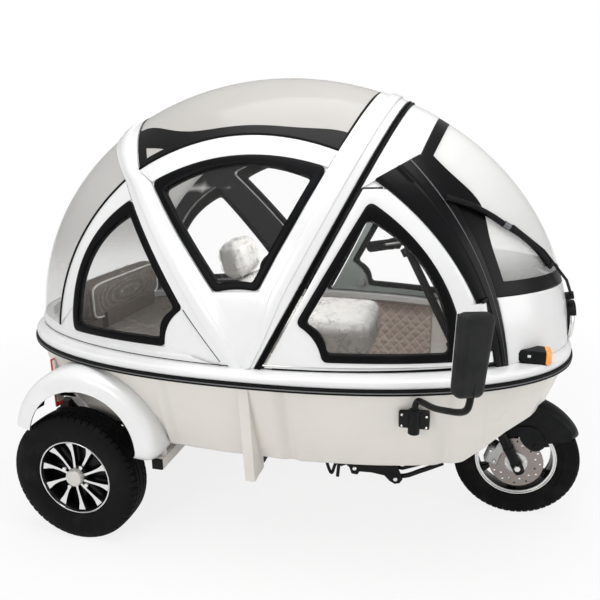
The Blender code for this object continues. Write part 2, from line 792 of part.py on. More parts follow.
def steering_point(along, ahead=0.0, y=0.0):
    return STEER_FOOT + AXIS * along + AHEAD * ahead + Vector((0, y, 0))


def build_steering(mat):
    fork = rod(steering_point(CROWN_AT - 0.018, 0.012), steering_point(CROWN_AT + 0.018, 0.012), 0.040, 20)
    yoke = square_tube(steering_point(CROWN_AT, 0.020, -LEG_Y), steering_point(CROWN_AT, 0.020, LEG_Y),
                       0.036, 0.046)
    fork = join(fork, yoke, rod(steering_point(CROWN_AT), steering_point(BAR_AT - 0.002), STEERER_R, 16))
    for side in (-1, 1):
        y = side * LEG_Y
        upper = rod(steering_point(0.10, FORK_OFFSET, y), steering_point(CROWN_AT + 0.03, FORK_OFFSET, y),
                    LEG_R * 0.8, 14)
        lower = rod(steering_point(-0.030, FORK_OFFSET, y), steering_point(0.17, FORK_OFFSET, y), LEG_R, 14)
        fork = join(fork, upper, lower)
    spindle = rod((FRONT_AXLE_X, -LEG_Y, FRONT_R), (FRONT_AXLE_X, LEG_Y, FRONT_R), FRONT_SHAFT_R, 12)
    fork = join(fork, spindle)
    finish(fork, "steering_fork", mat["black"])

    top = steering_point(BAR_AT + 0.014)
    clamp = rod(steering_point(BAR_AT - 0.0015), steering_point(BAR_AT + 0.028), 0.028, 16)
    bar = [top + Vector((-0.10, s * 0.30, 0.06)) for s in (-1, 1)]
    bend = [top + Vector((0.0, s * 0.11, 0.05)) for s in (-1, 1)]
    tube = bent_tube([bar[0], bend[0], top + Vector((0, -0.05, 0.004)), top + Vector((0, 0.05, 0.004)),
                      bend[1], bar[1]], 0.011, 10)
    handle = join(clamp, tube)
    for s in (-1, 1):
        start = top + Vector((-0.10, s * 0.30, 0.06))
        inner = start + (top + Vector((0.0, s * 0.11, 0.05)) - start) * 0.55
        handle = join(handle, rod(start + (start - inner) * 0.06, inner, 0.016, 12))
    finish(handle, "handlebar", mat["black"])

    guard = front_mudguard()
    finish(guard, "front_mudguard", mat["black"])


GUARD_ROOM = 0.018          # over the front tyre
GUARD_T = 0.004
GUARD_CROWN = 0.035
GUARD_FROM, GUARD_TO = 150, 28
FLAP_W = 0.100


def front_mudguard():
    """Arched section swept round the front wheel, with a stay down to each fork leg."""
    inner_r, thick, half = FRONT_R + GUARD_ROOM, GUARD_T, FRONT_TYRE_W / 2 + 0.010
    start, end, steps = (math.radians(GUARD_FROM), math.radians(GUARD_TO), 13)
    section = []
    for r_extra in (0.0, thick):
        arc = [((half + r_extra) * math.sin(t), -GUARD_CROWN * (1 - math.cos(t)) + r_extra)
               for t in (math.radians(a) for a in range(-80, 81, 32))]
        section.append(arc)
    ring_points = section[1] + section[0][::-1]
    rings = []
    for i in range(steps + 1):
        a = start + (end - start) * i / steps
        rings.append([FRONT_AXLE + Vector(((inner_r + dr) * math.cos(a), y, (inner_r + dr) * math.sin(a)))
                      for y, dr in ring_points])
    guard = loft(rings, "guard")
    for side in (-1, 1):
        y = side * (half + 0.004)
        stay = square_tube((FRONT_AXLE_X - 0.085, y, FRONT_R + 0.235),
                           (FRONT_AXLE_X - 0.060, y, FRONT_R + 0.10), GUARD_T, FLAP_W)
        at = steering_point(0.150, FORK_OFFSET)
        leg_y = LEG_Y - LEG_R - FIT / 2
        boss = rod((at.x, side * (half + 0.003), at.z), (at.x, side * leg_y, at.z), 0.012, 12)
        guard = join(guard, stay, boss)
    return guard


# ---------------------------------------------------------------- wheels


def tyre(centre, radius, width, bead_r, steps):
    half = width / 2
    shoulder = radius - 0.018
    near = [(bead_r, -half * 0.72), (bead_r + 0.030, -half * 0.98), (shoulder - 0.02, -half),
            (shoulder, -half * 0.93), (radius - 0.004, -half * 0.70)]
    far = [(r, -y) for r, y in reversed(near)]
    return turned(near + [(radius, 0)] + far, centre, steps)


def rim(centre, bead_r, width, hub_r, bore_r, spokes, face_y, steps):
    """Cast wheel: barrel, spokes in a fan and a hub."""
    half = width * 0.36
    barrel_in = bead_r - 0.012
    barrel = turned([(bead_r - FIT, -half), (bead_r - FIT, half), (barrel_in, half), (barrel_in - 0.004, 0),
                     (barrel_in, -half)], centre, steps)
    sign = math.copysign(1, face_y)
    hub = turned([(hub_r, HUB_HALF), (hub_r, -HUB_HALF), (bore_r, -HUB_HALF), (bore_r, HUB_HALF)],
                 centre, 24)
    wheel = hub
    for i in range(spokes):
        a = 2 * math.pi * (i + 0.5) / spokes
        along = Vector((math.cos(a), 0, math.sin(a)))
        across = Vector((-math.sin(a), 0, math.cos(a)))
        rings = []
        for r, wide, y0, y1 in ((hub_r - 0.006, *SPOKE_ROOT), (barrel_in + 0.004, *SPOKE_TIP)):
            rings.append([Vector(centre) + along * r + across * w + Vector((0, sign * y, 0))
                          for w, y in ((-wide, y0), (wide, y0), (wide, y1), (-wide, y1))])
        wheel = join(wheel, loft(rings, "spoke"))
    return join(wheel, barrel)


def build_wheels(mat):
    for name, side in (("right", -1), ("left", 1)):
        centre = (REAR_AXLE_X, side * REAR_TRACK / 2, REAR_R)
        finish(tyre(centre, REAR_R, REAR_TYRE_W, REAR_BEAD_R, TYRE_STEPS), "rear_tyre_" + name, mat["tyre"])
        wheel = rim(centre, REAR_BEAD_R, REAR_TYRE_W, REAR_HUB_R, REAR_SHAFT_R + SHAFT_ROOM,
                    REAR_SPOKES, side, TYRE_STEPS)
        finish(wheel, "rear_rim_" + name, mat["alloy"])
    centre = tuple(FRONT_AXLE)
    finish(tyre(centre, FRONT_R, FRONT_TYRE_W, FRONT_BEAD_R, TYRE_STEPS), "front_tyre", mat["tyre"])
    wheel = rim(centre, FRONT_BEAD_R, FRONT_TYRE_W, FRONT_HUB_R, FRONT_SHAFT_R + SHAFT_ROOM, FRONT_SPOKES, -1,
                TYRE_STEPS)
    finish(wheel, "front_rim", mat["alloy"])

    seat = DISC_Y - HUB_HALF - FIT / 2
    half, bore = DISC_T / 2, FRONT_SHAFT_R + SHAFT_ROOM + FIT
    disc = turned([(DISC_R, -half), (DISC_R, half), (0.052, half), (0.044, seat), (bore, seat),
                   (bore, -half)], (FRONT_AXLE_X, -DISC_Y, FRONT_R), 32)
    for radius, count, first in DISC_HOLES:
        for i in range(count):
            a = math.radians(first + 360 * i / count)
            at = Vector((FRONT_AXLE_X + radius * math.cos(a), -DISC_Y, FRONT_R + radius * math.sin(a)))
            through_disc = Vector((0, DISC_T, 0))
            disc = cut(disc, rod(at - through_disc, at + through_disc, DISC_HOLE_R, 6))
    finish(disc, "brake_disc", mat["steel"])


DRUM_R = 0.085
DRUM_W = 0.032
GEAR_HALF = 0.060
MOTOR = (0.020, 0.010, 0.050, 0.240, 0.080)     # ahead and over the axle, from and to y, radius


def build_rear_axle(mat):
    def across(y0, y1, radius, sides, ahead=0.0, up=0.0):
        x, z = REAR_AXLE_X + ahead, REAR_R + up
        return rod((x, y0, z), (x, y1, z), radius, sides)

    y_end = REAR_TRACK / 2 + 0.040
    tube_end = REAR_TRACK / 2 - 0.091
    ahead, up, y0, y1, radius = MOTOR
    axle = join(across(-y_end, y_end, REAR_SHAFT_R, 16), across(-tube_end, tube_end, AXLE_TUBE_R, 20),
                across(-GEAR_HALF, GEAR_HALF, DRUM_R, 24), across(y0, y1, radius, 24, ahead, up))
    for side in (-1, 1):
        axle = join(axle, across(side * (tube_end - 0.005), side * (tube_end - 0.005 + DRUM_W), DRUM_R, 24))
    finish(axle, "rear_axle", mat["black"])


FENDER_T = 0.005
FENDER_FROM, FENDER_TO = 168, -8
FENDER_OUT = 0.022          # beyond the rear tyre
FENDER_STEPS = 20


def build_fenders(mat):
    """Arched mudguard with a deep rounded lip, seated on the wheel house."""
    centre = Vector((ARCH_X, 0, ARCH_Z))
    y_in, y_out = ARCH_IN_Y + FIT, REAR_TRACK / 2 + REAR_TYRE_W / 2 + FENDER_OUT
    outer = [(y_in, 0), (y_out - 0.040, 0), (y_out - 0.013, -0.010), (y_out, -0.034),
             (y_out + 0.002, -FENDER_LIP)]
    inner = [(y_out - FENDER_T, -FENDER_LIP), (y_out - FENDER_T - 0.002, -0.036), (y_out - 0.018, -0.014),
             (y_out - 0.042, -FENDER_T), (y_in, -FENDER_T)]
    rings = []
    for i in range(FENDER_STEPS + 1):
        a = math.radians(FENDER_FROM + (FENDER_TO - FENDER_FROM) * i / FENDER_STEPS)
        out = Vector((math.cos(a), 0, math.sin(a)))
        rings.append([centre + out * (ARCH_R + rise) + Vector((0, -y, 0)) for y, rise in outer + inner])
    fender = loft(rings, "fender")
    finish(fender, "rear_fender_right", mat["white"])
    finish(mirrored(fender, "rear_fender_left"), "rear_fender_left", mat["white"])


# ---------------------------------------------------------------- chassis
RAIL_Y = 0.300
RAIL = 0.040
RAIL_Z = TUB_FLOOR_Z - FIT - RAIL / 2
RAIL_REAR_X = -0.950
CROSS_BARS = (              # x, half length, how far below the rails
    (-0.378, 0.550, 0.030),
    (-0.025, 0.470, 0.0),
    (TUNNEL_X - 0.03, 0.320, 0.0),
    (RAIL_REAR_X + RAIL / 2, 0.320, 0.0),
)


def build_chassis(mat):
    frame = None
    for side in (-1, 1):
        rail = square_tube((RAIL_REAR_X, side * RAIL_Y, RAIL_Z), (TUNNEL_X - 0.01, side * RAIL_Y, RAIL_Z),
                           RAIL, RAIL)
        frame = rail if frame is None else join(frame, rail)
    for x, reach, drop in CROSS_BARS:
        frame = join(frame, square_tube((x, -reach, RAIL_Z - drop), (x, reach, RAIL_Z - drop), RAIL, RAIL))
    for side in (-1, 1):
        top = REAR_FLOOR_Z - FIT
        y0, y1 = side * RAIL_Y - RAIL / 2, side * RAIL_Y + RAIL / 2
        frame = join(frame, box(RAIL_REAR_X + 0.02, RAIL_REAR_X + 0.06, y0, y1, RAIL_Z, top))
    finish(join(frame, brake_linkage()), "chassis_frame", mat["black"])

    neck = rod(steering_point(HEAD_LOW), steering_point(HEAD_HIGH), HEAD_R, 24)
    foot_z = TUNNEL_Z + TUB_T + FIT
    at = axis_x(foot_z)
    plate = box(at - 0.048, at + 0.067, -0.060, 0.060, foot_z, foot_z + HEAD_PLATE_T)
    bore = rod(steering_point(HEAD_LOW - 0.05), steering_point(HEAD_HIGH + 0.05), STEERER_R + 0.0008, 24)
    finish(cut(join(neck, plate), bore), "steering_head", mat["black"])


SPRING_HALF = 0.268
SPRING_W = 0.045
SPRING_EYE_R = 0.012


def build_springs(mat):
    """Leaf springs under the rails, clamped on the axle tube."""
    under_rail = RAIL_Z - RAIL / 2 - FIT
    eye_z = under_rail - 0.006 - SPRING_EYE_R
    low_z = REAR_R + AXLE_TUBE_R + FIT
    for name, side in (("right", -1), ("left", 1)):
        y0, y1 = side * RAIL_Y - SPRING_W / 2, side * RAIL_Y + SPRING_W / 2
        top, bottom = [], []
        for i in range(13):
            u = -1 + i / 6
            x = REAR_AXLE_X + u * SPRING_HALF
            sag = (eye_z - low_z - 0.018) * u * u
            top.append((x, low_z + 0.022 + sag))
            bottom.append((x, low_z + sag + 0.014 * abs(u)))
        leaf = prism(top + bottom[::-1], y0, y1)
        for u in (-1, 1):
            x = REAR_AXLE_X + u * SPRING_HALF
            leaf = join(leaf, rod((x, y0, eye_z), (x, y1, eye_z), SPRING_EYE_R, 14),
                        box(x - 0.010, x + 0.010, y0, y1, eye_z, under_rail))
        finish(leaf, "leaf_spring_" + name, mat["black"])


def brake_linkage():
    """Foot brake shaft, its hanger and the pull rod below the floor."""
    z = RAIL_Z - RAIL / 2
    x = CROSS_BARS[1][0]
    hanger = box(0.270, 0.390, -RAIL_Y + RAIL / 2 - 0.005, -0.235, 0.255, TUB_FLOOR_Z - FIT)
    rod_front = bent_tube([(0.36, -0.255, 0.275), (0.46, -0.255, 0.262), (0.60, -0.255, 0.320)], 0.007, 8)
    rod_rear = bent_tube([(0.30, -0.255, 0.275), (0.10, -0.255, 0.275), (x, -0.255, z + 0.004)], 0.006, 8)
    return join(hanger, rod_front, rod_rear, rod((0.33, -0.236, 0.28), (0.33, -0.18, 0.28), 0.010, 12))


POST_X = (-0.040, -0.006)
POST_FOOT_Z = TUB_FLOOR_Z - 0.055
POST_LEAN = 0.13            # outward rise of the post's outer face


def build_posts(mat):
    """Square posts outside the tub, over its panel joint."""
    x0, x1 = POST_X
    top_z = STRIP_Z[0] - FIT
    outer_y = WAIST_B - 0.006
    post = box(x0, x1, -outer_y - 0.01, -outer_y + 0.145, POST_FOOT_Z, top_z)
    foot_y = outer_y - POST_LEAN * (top_z - POST_FOOT_Z)
    far = -WAIST_B - 0.1
    slope = prism_x([(far, POST_FOOT_Z - 0.1), (-foot_y, POST_FOOT_Z - 0.1), (-foot_y, POST_FOOT_Z),
                     (-outer_y, top_z + 0.001), (far, top_z + 0.001)], x0 - 0.1, x1 + 0.1)
    post = cut(post, slope, tub_loft(-FIT, POST_FOOT_Z - 0.03))
    post = keep_piece(post, lambda v: -v.co.y)
    finish(post, "side_post_right", mat["white"])
    finish(mirrored(post, "side_post_left"), "side_post_left", mat["white"])


def prism_x(outline_yz, x0, x1):
    """Front-view outline (y, z) run along X."""
    return loft([[(x0, y, z) for y, z in outline_yz], [(x1, y, z) for y, z in outline_yz]], "prism")


# ---------------------------------------------------------------- cabin
def rounded_block(x0, x1, y0, y1, z0, z1, radius, segments=2):
    block = box(x0, x1, y0, y1, z0, z1)
    bm = bmesh.new()
    bm.from_mesh(block.data)
    bmesh.ops.bevel(bm, geom=bm.edges[:] + bm.verts[:], offset=radius, segments=segments, profile=0.5,
                    affect='EDGES', clamp_overlap=True)
    bm.to_mesh(block.data)
    bm.free()
    return block


def turned_about_y(obj, pivot, degrees):
    """Leans obj backwards about a line along Y through pivot (x, z)."""
    place = Vector((pivot[0], 0, pivot[1]))
    turn = Matrix.Rotation(math.radians(-degrees), 4, 'Y')
    obj.data.transform(Matrix.Translation(place) @ turn @ Matrix.Translation(-place))
    return obj


SEAT_BASE_Z = 0.640
SEAT_LEAN = 14
BENCH_Z = 0.620
BENCH_REAR_X = -0.745
HINGE_LINE = (-0.087, SEAT_BASE_Z)      # x, z the seat's back leans about
FLOOR_Z = TUB_FLOOR_Z + TUB_T + FIT
REAR_DECK_Z = REAR_FLOOR_Z + TUB_T + FIT
BLOCKS = {                  # x0, x1, half width, z0, z1, corner radius
    "driver_base": (-0.070, 0.250, 0.150, FLOOR_Z, SEAT_BASE_Z, 0),
    "driver_cushion": (-0.085, 0.315, 0.205, SEAT_BASE_Z + FIT, 0.800, 0.045),
    "driver_back": (-0.180, -0.087, 0.185, SEAT_BASE_Z + FIT, 0.930, 0.035),
    "headrest": (-0.205, -0.105, 0.110, 0.945, 1.085, 0.035),
    "back_bracket": (-0.150, -0.085 - FIT, 0.120, 0.690, 0.750, 0),
    "battery": (-0.712, -0.420, 0.240, REAR_DECK_Z, REAR_DECK_Z + 0.165, 0),
    "bench_box": (BENCH_REAR_X, -0.395, 0.350, REAR_DECK_Z, BENCH_Z, 0),
    "bench_hollow": (BENCH_REAR_X + 0.008, -0.403, 0.342, REAR_DECK_Z - 0.02, BENCH_Z - 0.010, 0),
    "bench_cushion": (BENCH_REAR_X, -0.355, 0.360, BENCH_Z + FIT, 0.735, 0.030),
    "bench_back": (-0.850, -0.762, 0.270, BENCH_Z + 0.130, 0.905, 0.028),
    "bench_foot": (BENCH_REAR_X - 0.030, BENCH_REAR_X - FIT, 0.200, BENCH_Z - 0.10, BENCH_Z + 0.16, 0),
}
STALK = (-0.150, 0.045, 0.90, 0.98, 0.006)      # headrest stalk: x, y, from and to z, radius
LINING = (-0.270, 0.520, TUB_FLOOR_Z + 0.045, FLANGE_Z[0] - 0.025)     # x0, x1, z0, z1
DASH_Y = 0.345
DASH_FOOT_Z = 0.750
DASH_INSET = 0.014
DASH_BORE_R = 0.024         # the steering column runs through the dashboard
SHIELD_Y = 0.230
SHIELD_T = 0.012
SHIELD_AHEAD = 0.0724       # of the steering axis, at the tunnel's top
LINING_T = 0.009
DASH_PROFILE = (            # x ahead of the steering foot, z
    (-0.261, 0.890), (-0.241, 0.960), (-0.161, 0.985), (0.009, 0.985), (0.139, 0.930),
    (0.139, DASH_FOOT_Z), (-0.161, DASH_FOOT_Z))


def block(name):
    x0, x1, half, z0, z1, radius = BLOCKS[name]
    return rounded_block(x0, x1, -half, half, z0, z1, radius) if radius else box(x0, x1, -half, half, z0, z1)


def build_cabin(mat):
    finish(block("driver_base"), "driver_seat_base", mat["grey"])
    finish(block("driver_cushion"), "driver_seat_cushion", mat["vinyl"])
    back = turned_about_y(block("driver_back"), HINGE_LINE, SEAT_LEAN)
    head = block("headrest")
    x, y, z0, z1, radius = STALK
    for side in (-1, 1):
        head = join(head, rod((x, side * y, z0), (x, side * y, z1), radius, 10))
    head = turned_about_y(head, HINGE_LINE, SEAT_LEAN)
    finish(join(back, head, block("back_bracket")), "driver_seat_back", mat["vinyl"])

    finish(block("battery"), "battery_block", mat["grey"])
    finish(cut(block("bench_box"), block("bench_hollow")), "bench_base", mat["cream"])
    finish(block("bench_cushion"), "bench_cushion", mat["cloth"])
    finish(join(block("bench_back"), block("bench_foot")), "bench_back", mat["cloth"])

    dash = prism([(STEER_FOOT.x + x, z) for x, z in DASH_PROFILE], -DASH_Y, DASH_Y)
    column = rod(steering_point(HEAD_HIGH), steering_point(BAR_AT), DASH_BORE_R, 20)
    dash = cut(common(dash, egg_solid(-PANEL_T - DASH_INSET)), column)
    foot_z = TUNNEL_Z + TUB_T + FIT
    foot_x = axis_x(foot_z) + SHIELD_AHEAD
    top_x, top_z = foot_x - 0.045, DASH_FOOT_Z + 0.010
    shield = prism([(foot_x, foot_z), (foot_x + SHIELD_T, foot_z), (top_x + SHIELD_T, top_z), (top_x, top_z)],
                   -SHIELD_Y, SHIELD_Y)
    finish(join(dash, shield), "dashboard", mat["black"])

    for name, side in (("right", -1), ("left", 1)):
        liner = cut(tub_loft(TUB_T + FIT, TUB_FLOOR_Z + 0.035),
                    tub_loft(TUB_T + LINING_T, TUB_FLOOR_Z + 0.025))
        x0, x1, z0, z1 = LINING
        kept = box(x0, x1, *sorted((side * WAIST_B / 2, side * (WAIST_B + 0.1))), z0, z1)
        finish(common(liner, kept), "side_lining_" + name, mat["cloth"])


def egg_solid(out, foot_z=0.60):
    """The egg as a full body, its surface moved out."""
    rings = []
    for k in range(EGG_LEVELS):
        a, b, c = EGG_A + out, EGG_B + out, EGG_C + out
        low = math.asin((foot_z - EGG_Z) / c)
        phi = low + (math.radians(88) - low) * k / (EGG_LEVELS - 1)
        rings.append([(EGG_X + a * math.cos(phi) * math.cos(t), b * math.cos(phi) * math.sin(t),
                       EGG_Z + c * math.sin(phi))
                      for t in (2 * math.pi * i / EGG_SIDES for i in range(EGG_SIDES))])
    return loft(rings, "egg")


# ---------------------------------------------------------------- fittings
LAMP_Z = 0.798


LAMP_X = EGG_X + EGG_A - 0.019
SIGNAL_BEHIND = 0.034       # gap from the pillar to the turn signal
SIGNAL_LENGTH = 0.112


def build_lamps(mat):
    lamp = turned([(0.066, -0.050), (0.070, 0.020), (0.058, 0.030), (0.030, 0.036), (0.001, 0.037),
                   (0.001, -0.050)], (0, 0, 0), 24)
    lamp.data.transform(Matrix.Translation((LAMP_X, 0, LAMP_Z)) @ Matrix.Rotation(-math.pi / 2, 4, 'Z'))
    bore = rod((LAMP_X - 0.049, 0, LAMP_Z), (LAMP_X + 0.0355, 0, LAMP_Z), 0.004, 12)
    lamp = cut(join(lamp, bore), outer_skin(), flange_guard())
    finish(keep_piece(lamp, lambda v: v.co.x), "headlight", mat["lens"])

    low, high = FLANGE_Z[1] + 0.001, FLANGE_Z[1] + 0.047
    rear = x_at(PILLAR_FRONT, high) + SIGNAL_BEHIND
    outer = -egg_half_width(rear, (low + high) / 2)
    signal = rounded_block(rear, rear + SIGNAL_LENGTH, outer, outer + 0.060, low, high, 0.010, 1)
    signal = keep_piece(cut(signal, outer_skin(), flange_guard()), lambda v: -v.co.y)
    finish(signal, "turn_signal_right", mat["lens"])
    finish(mirrored(signal, "turn_signal_left"), "turn_signal_left", mat["lens"])

    rear = WAIST_X - WAIST_A
    tail = box(rear + 0.240, rear + 0.260, -0.432, -0.394, 0.470, 0.645)
    stay = rod((rear + 0.256, -0.413, 0.500), (rear + 0.406, -0.413, 0.500), 0.007, 10)
    tail = keep_piece(cut(join(tail, stay), tub_loft(-FIT, TUB_FLOOR_Z + 0.015)), lambda v: -v.co.x)
    finish(tail, "tail_lamp_right", mat["red"])
    finish(mirrored(tail, "tail_lamp_left"), "tail_lamp_left", mat["red"])


def outer_skin():
    """What a fitting on the shell is cut by, so that it seats on the panel's own facets."""
    return egg_skin(FIT, 0.120, FLANGE_Z[1] + FIT)


def flange_guard():
    return loft([superellipse(WAIST_X, WAIST_A + 0.01, WAIST_B + 0.01, WAIST_N, z, TUB_SIDES)
                 for z in (0.60, FLANGE_Z[1] + FIT)], "guard")


MIRROR_FOOT_X = 0.509
MIRROR_ARM = (              # x ahead of the foot, out beyond the waist, height over the strip
    (0.000, -0.066, -0.056), (0.006, -0.062, -0.021), (0.021, -0.043, -0.004), (0.051, 0.012, 0.004),
    (0.131, 0.132, 0.056), (0.146, 0.154, 0.074), (0.151, 0.157, 0.114))
MIRROR_HEAD = (0.146, 0.157, 0.219)
MIRROR_HALF = (0.050, 0.026, 0.113)
MIRROR_TAPER = 0.16         # how much narrower the head's foot is
MIRROR_TURN = 30
MIRROR_LEAN = 4


def mirror_point(ahead, out, up):
    return Vector((MIRROR_FOOT_X + ahead, -WAIST_B - out, STRIP_Z[0] + up))


def build_mirrors(mat):
    low, high = mirror_point(-0.047, -0.063, -0.114), mirror_point(0.047, -0.158, -0.054)
    plate = rounded_block(low.x, high.x, low.y, high.y, low.z, high.z, 0.006, 1)
    plate = join(plate, rod(mirror_point(0, -0.068, -0.126), mirror_point(0, -0.068, -0.046), 0.014, 12))
    plate = keep_piece(cut(plate, tub_loft(-FIT, TUB_FLOOR_Z + 0.015)), lambda v: -v.co.y)
    arm = bent_tube([mirror_point(*place) for place in MIRROR_ARM], 0.0095, 10)
    (wide, deep, tall) = MIRROR_HALF
    head = rounded_block(-wide, wide, -deep, deep, -tall, tall, 0.022, 3)
    for v in head.data.vertices:
        v.co.x *= 1 - MIRROR_TAPER * (tall - v.co.z) / (2 * tall)
    head.data.transform(Matrix.Translation(mirror_point(*MIRROR_HEAD))
                        @ Matrix.Rotation(math.radians(MIRROR_TURN), 4, 'Z')
                        @ Matrix.Rotation(math.radians(MIRROR_LEAN), 4, 'Y'))
    mirror = join(plate, arm, head)
    finish(mirror, "mirror_right", mat["black"])
    finish(mirrored(mirror, "mirror_left"), "mirror_left", mat["black"])


WIPER = (                   # share of the egg's half length, y, height over the glass
    (0.9784, -0.030, 0.022),
    (0.9446, -0.105, 0.024),
    (0.8600, -0.190, 0.024),
    (0.7660, -0.247, 0.020),
    (0.7331, -0.269, 0.013),
)
WIPER_BLADE = ((0.8929, -0.175), (0.7472, -0.262), (0.5686, -0.335))    # share, y
BLADE_UP = 0.013


def on_glass(share, y, out):
    """Point over the egg at a share of its half length and y, out along its normal."""
    z = EGG_C * math.sqrt(max(0.0, 1 - share ** 2 - (y / EGG_B) ** 2))
    normal = Vector((share / EGG_A, y / EGG_B ** 2, z / EGG_C ** 2)).normalized()
    return Vector((EGG_X + EGG_A * share, y, EGG_Z + z)) + normal * out


def build_wiper(mat):
    arm = bent_tube([on_glass(*place) for place in WIPER], 0.005, 8)
    places = [WIPER_BLADE[0]]
    for a, b in zip(WIPER_BLADE, WIPER_BLADE[1:]):
        places += [(a[0] + (b[0] - a[0]) * k / 4, a[1] + (b[1] - a[1]) * k / 4) for k in range(1, 5)]
    blade = bent_tube([on_glass(share, y, BLADE_UP) for share, y in places], 0.0065, 8)
    share, y, _ = WIPER[0]
    foot = rod(on_glass(share, y, -0.004), on_glass(share, y, 0.030), 0.014, 14)
    wiper = cut(join(arm, blade, foot), outer_skin())
    finish(keep_piece(wiper, lambda v: v.co.z), "wiper", mat["black"])


def build_caliper(mat):
    """Front brake caliper over the disc, on the right fork leg."""
    centre = FRONT_AXLE + Vector((-0.086, -0.060, 0.028))
    body = rounded_block(-0.026, 0.026, -0.026, 0.018, -0.036, 0.036, 0.006, 1)
    body.data.transform(Matrix.Translation(centre) @ Matrix.Rotation(math.radians(18), 4, 'Y'))
    disc_room = turned([(0.104, -0.0050), (0.104, 0.0050), (0.020, 0.0050), (0.020, -0.0050)],
                       (FRONT_AXLE_X, -DISC_Y, FRONT_R), 32)
    arm = square_tube(centre + Vector((0.015, -0.020, 0.020)), FRONT_AXLE + Vector((-0.050, -0.082, 0.090)),
                      0.012, 0.030)
    fork_leg = rod(steering_point(-0.040, FORK_OFFSET, -LEG_Y), steering_point(0.20, FORK_OFFSET, -LEG_Y),
                   LEG_R + FIT, 14)
    caliper = cut(join(body, arm), disc_room, fork_leg)
    finish(keep_piece(caliper, lambda v: -v.co.x), "brake_caliper", mat["steel"])


def set_origins():
    """Moving pieces turn about their own origins: on the joint's axis, or beside it for a door."""
    wheel_centres = {"rear_tyre_right": (REAR_AXLE_X, -REAR_TRACK / 2, REAR_R),
                     "rear_rim_right": (REAR_AXLE_X, -REAR_TRACK / 2, REAR_R),
                     "rear_tyre_left": (REAR_AXLE_X, REAR_TRACK / 2, REAR_R),
                     "rear_rim_left": (REAR_AXLE_X, REAR_TRACK / 2, REAR_R)}
    origins = {name: Vector(place) for name, place in wheel_centres.items()}
    for name in ("front_tyre", "front_rim", "brake_disc"):
        origins[name] = FRONT_AXLE
    for name in ("steering_fork", "handlebar", "front_mudguard", "brake_caliper"):
        origins[name] = STEER_FOOT
    foot = hinge_point(HINGES[0], 0)
    for name, side in (("right", 1), ("left", -1)):
        origins["door_" + name] = Vector((foot.x, side * foot.y, foot.z))
        origins["door_window_" + name] = origins["door_" + name]
    for name, place in origins.items():
        obj = bpy.data.objects[name]
        obj.data.transform(Matrix.Translation(-place))
        obj.location = place


def main():
    clear_scene()
    mat = finishes()
    build_shells(mat)
    build_doors(mat)
    build_windows(mat)
    build_waist(mat)
    build_tub(mat)
    build_steering(mat)
    build_wheels(mat)
    build_rear_axle(mat)
    build_fenders(mat)
    build_chassis(mat)
    build_springs(mat)
    build_posts(mat)
    build_cabin(mat)
    build_lamps(mat)
    build_mirrors(mat)
    build_wiper(mat)
    build_caliper(mat)
    set_origins()


main()
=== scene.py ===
import math

import bmesh
import bpy
import numpy as np
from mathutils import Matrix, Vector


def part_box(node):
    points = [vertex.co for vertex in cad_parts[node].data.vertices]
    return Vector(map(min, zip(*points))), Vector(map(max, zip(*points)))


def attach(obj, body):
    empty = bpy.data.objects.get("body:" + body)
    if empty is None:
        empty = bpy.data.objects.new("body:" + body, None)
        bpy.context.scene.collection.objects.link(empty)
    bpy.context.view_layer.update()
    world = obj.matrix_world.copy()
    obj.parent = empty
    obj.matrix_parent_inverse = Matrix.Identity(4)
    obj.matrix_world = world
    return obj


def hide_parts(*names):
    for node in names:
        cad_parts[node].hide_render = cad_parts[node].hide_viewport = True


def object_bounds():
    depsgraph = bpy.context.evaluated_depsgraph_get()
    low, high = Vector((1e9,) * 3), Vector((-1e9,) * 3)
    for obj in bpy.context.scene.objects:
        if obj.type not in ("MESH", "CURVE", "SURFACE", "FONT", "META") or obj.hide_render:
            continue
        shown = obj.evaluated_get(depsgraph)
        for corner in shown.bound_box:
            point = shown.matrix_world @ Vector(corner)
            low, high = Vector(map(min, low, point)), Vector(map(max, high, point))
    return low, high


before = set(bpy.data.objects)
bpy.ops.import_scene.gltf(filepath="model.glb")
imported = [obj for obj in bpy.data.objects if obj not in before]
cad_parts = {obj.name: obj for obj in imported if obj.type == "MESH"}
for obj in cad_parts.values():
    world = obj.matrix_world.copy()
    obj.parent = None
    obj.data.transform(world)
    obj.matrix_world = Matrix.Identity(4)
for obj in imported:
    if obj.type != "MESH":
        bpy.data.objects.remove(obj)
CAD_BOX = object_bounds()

# ------------------------------------------------------------------ studio
# A pale seamless floor under soft boxes: one over the roof, one low on the near side, one
# before the windscreen.  The floor keeps a faint shadow under the wheels.


class Value:
    """A shader socket.  Arithmetic on it adds Math nodes to its own material."""

    def __init__(self, paint, socket):
        self.paint = paint
        self.socket = socket

    def math(self, operation, *others, clamp=False):
        settings = {"operation": operation, "use_clamp": clamp}
        return self.paint.node("ShaderNodeMath", settings, self, *others)

    def __add__(self, other):
        return self.math("ADD", other)

    def __sub__(self, other):
        return self.math("SUBTRACT", other)

    def __rsub__(self, other):
        return self.paint.node("ShaderNodeMath", {"operation": "SUBTRACT"}, other, self)

    def __mul__(self, other):
        return self.math("MULTIPLY", other)

    def __truediv__(self, other):
        return self.math("DIVIDE", other)

    def above(self, low, high):
        """0 below low, 1 above high and smooth between them."""
        return self.paint.node("ShaderNodeMapRange", {"interpolation_type": "SMOOTHSTEP"}, self, low, high)

    __radd__ = __add__
    __rmul__ = __mul__


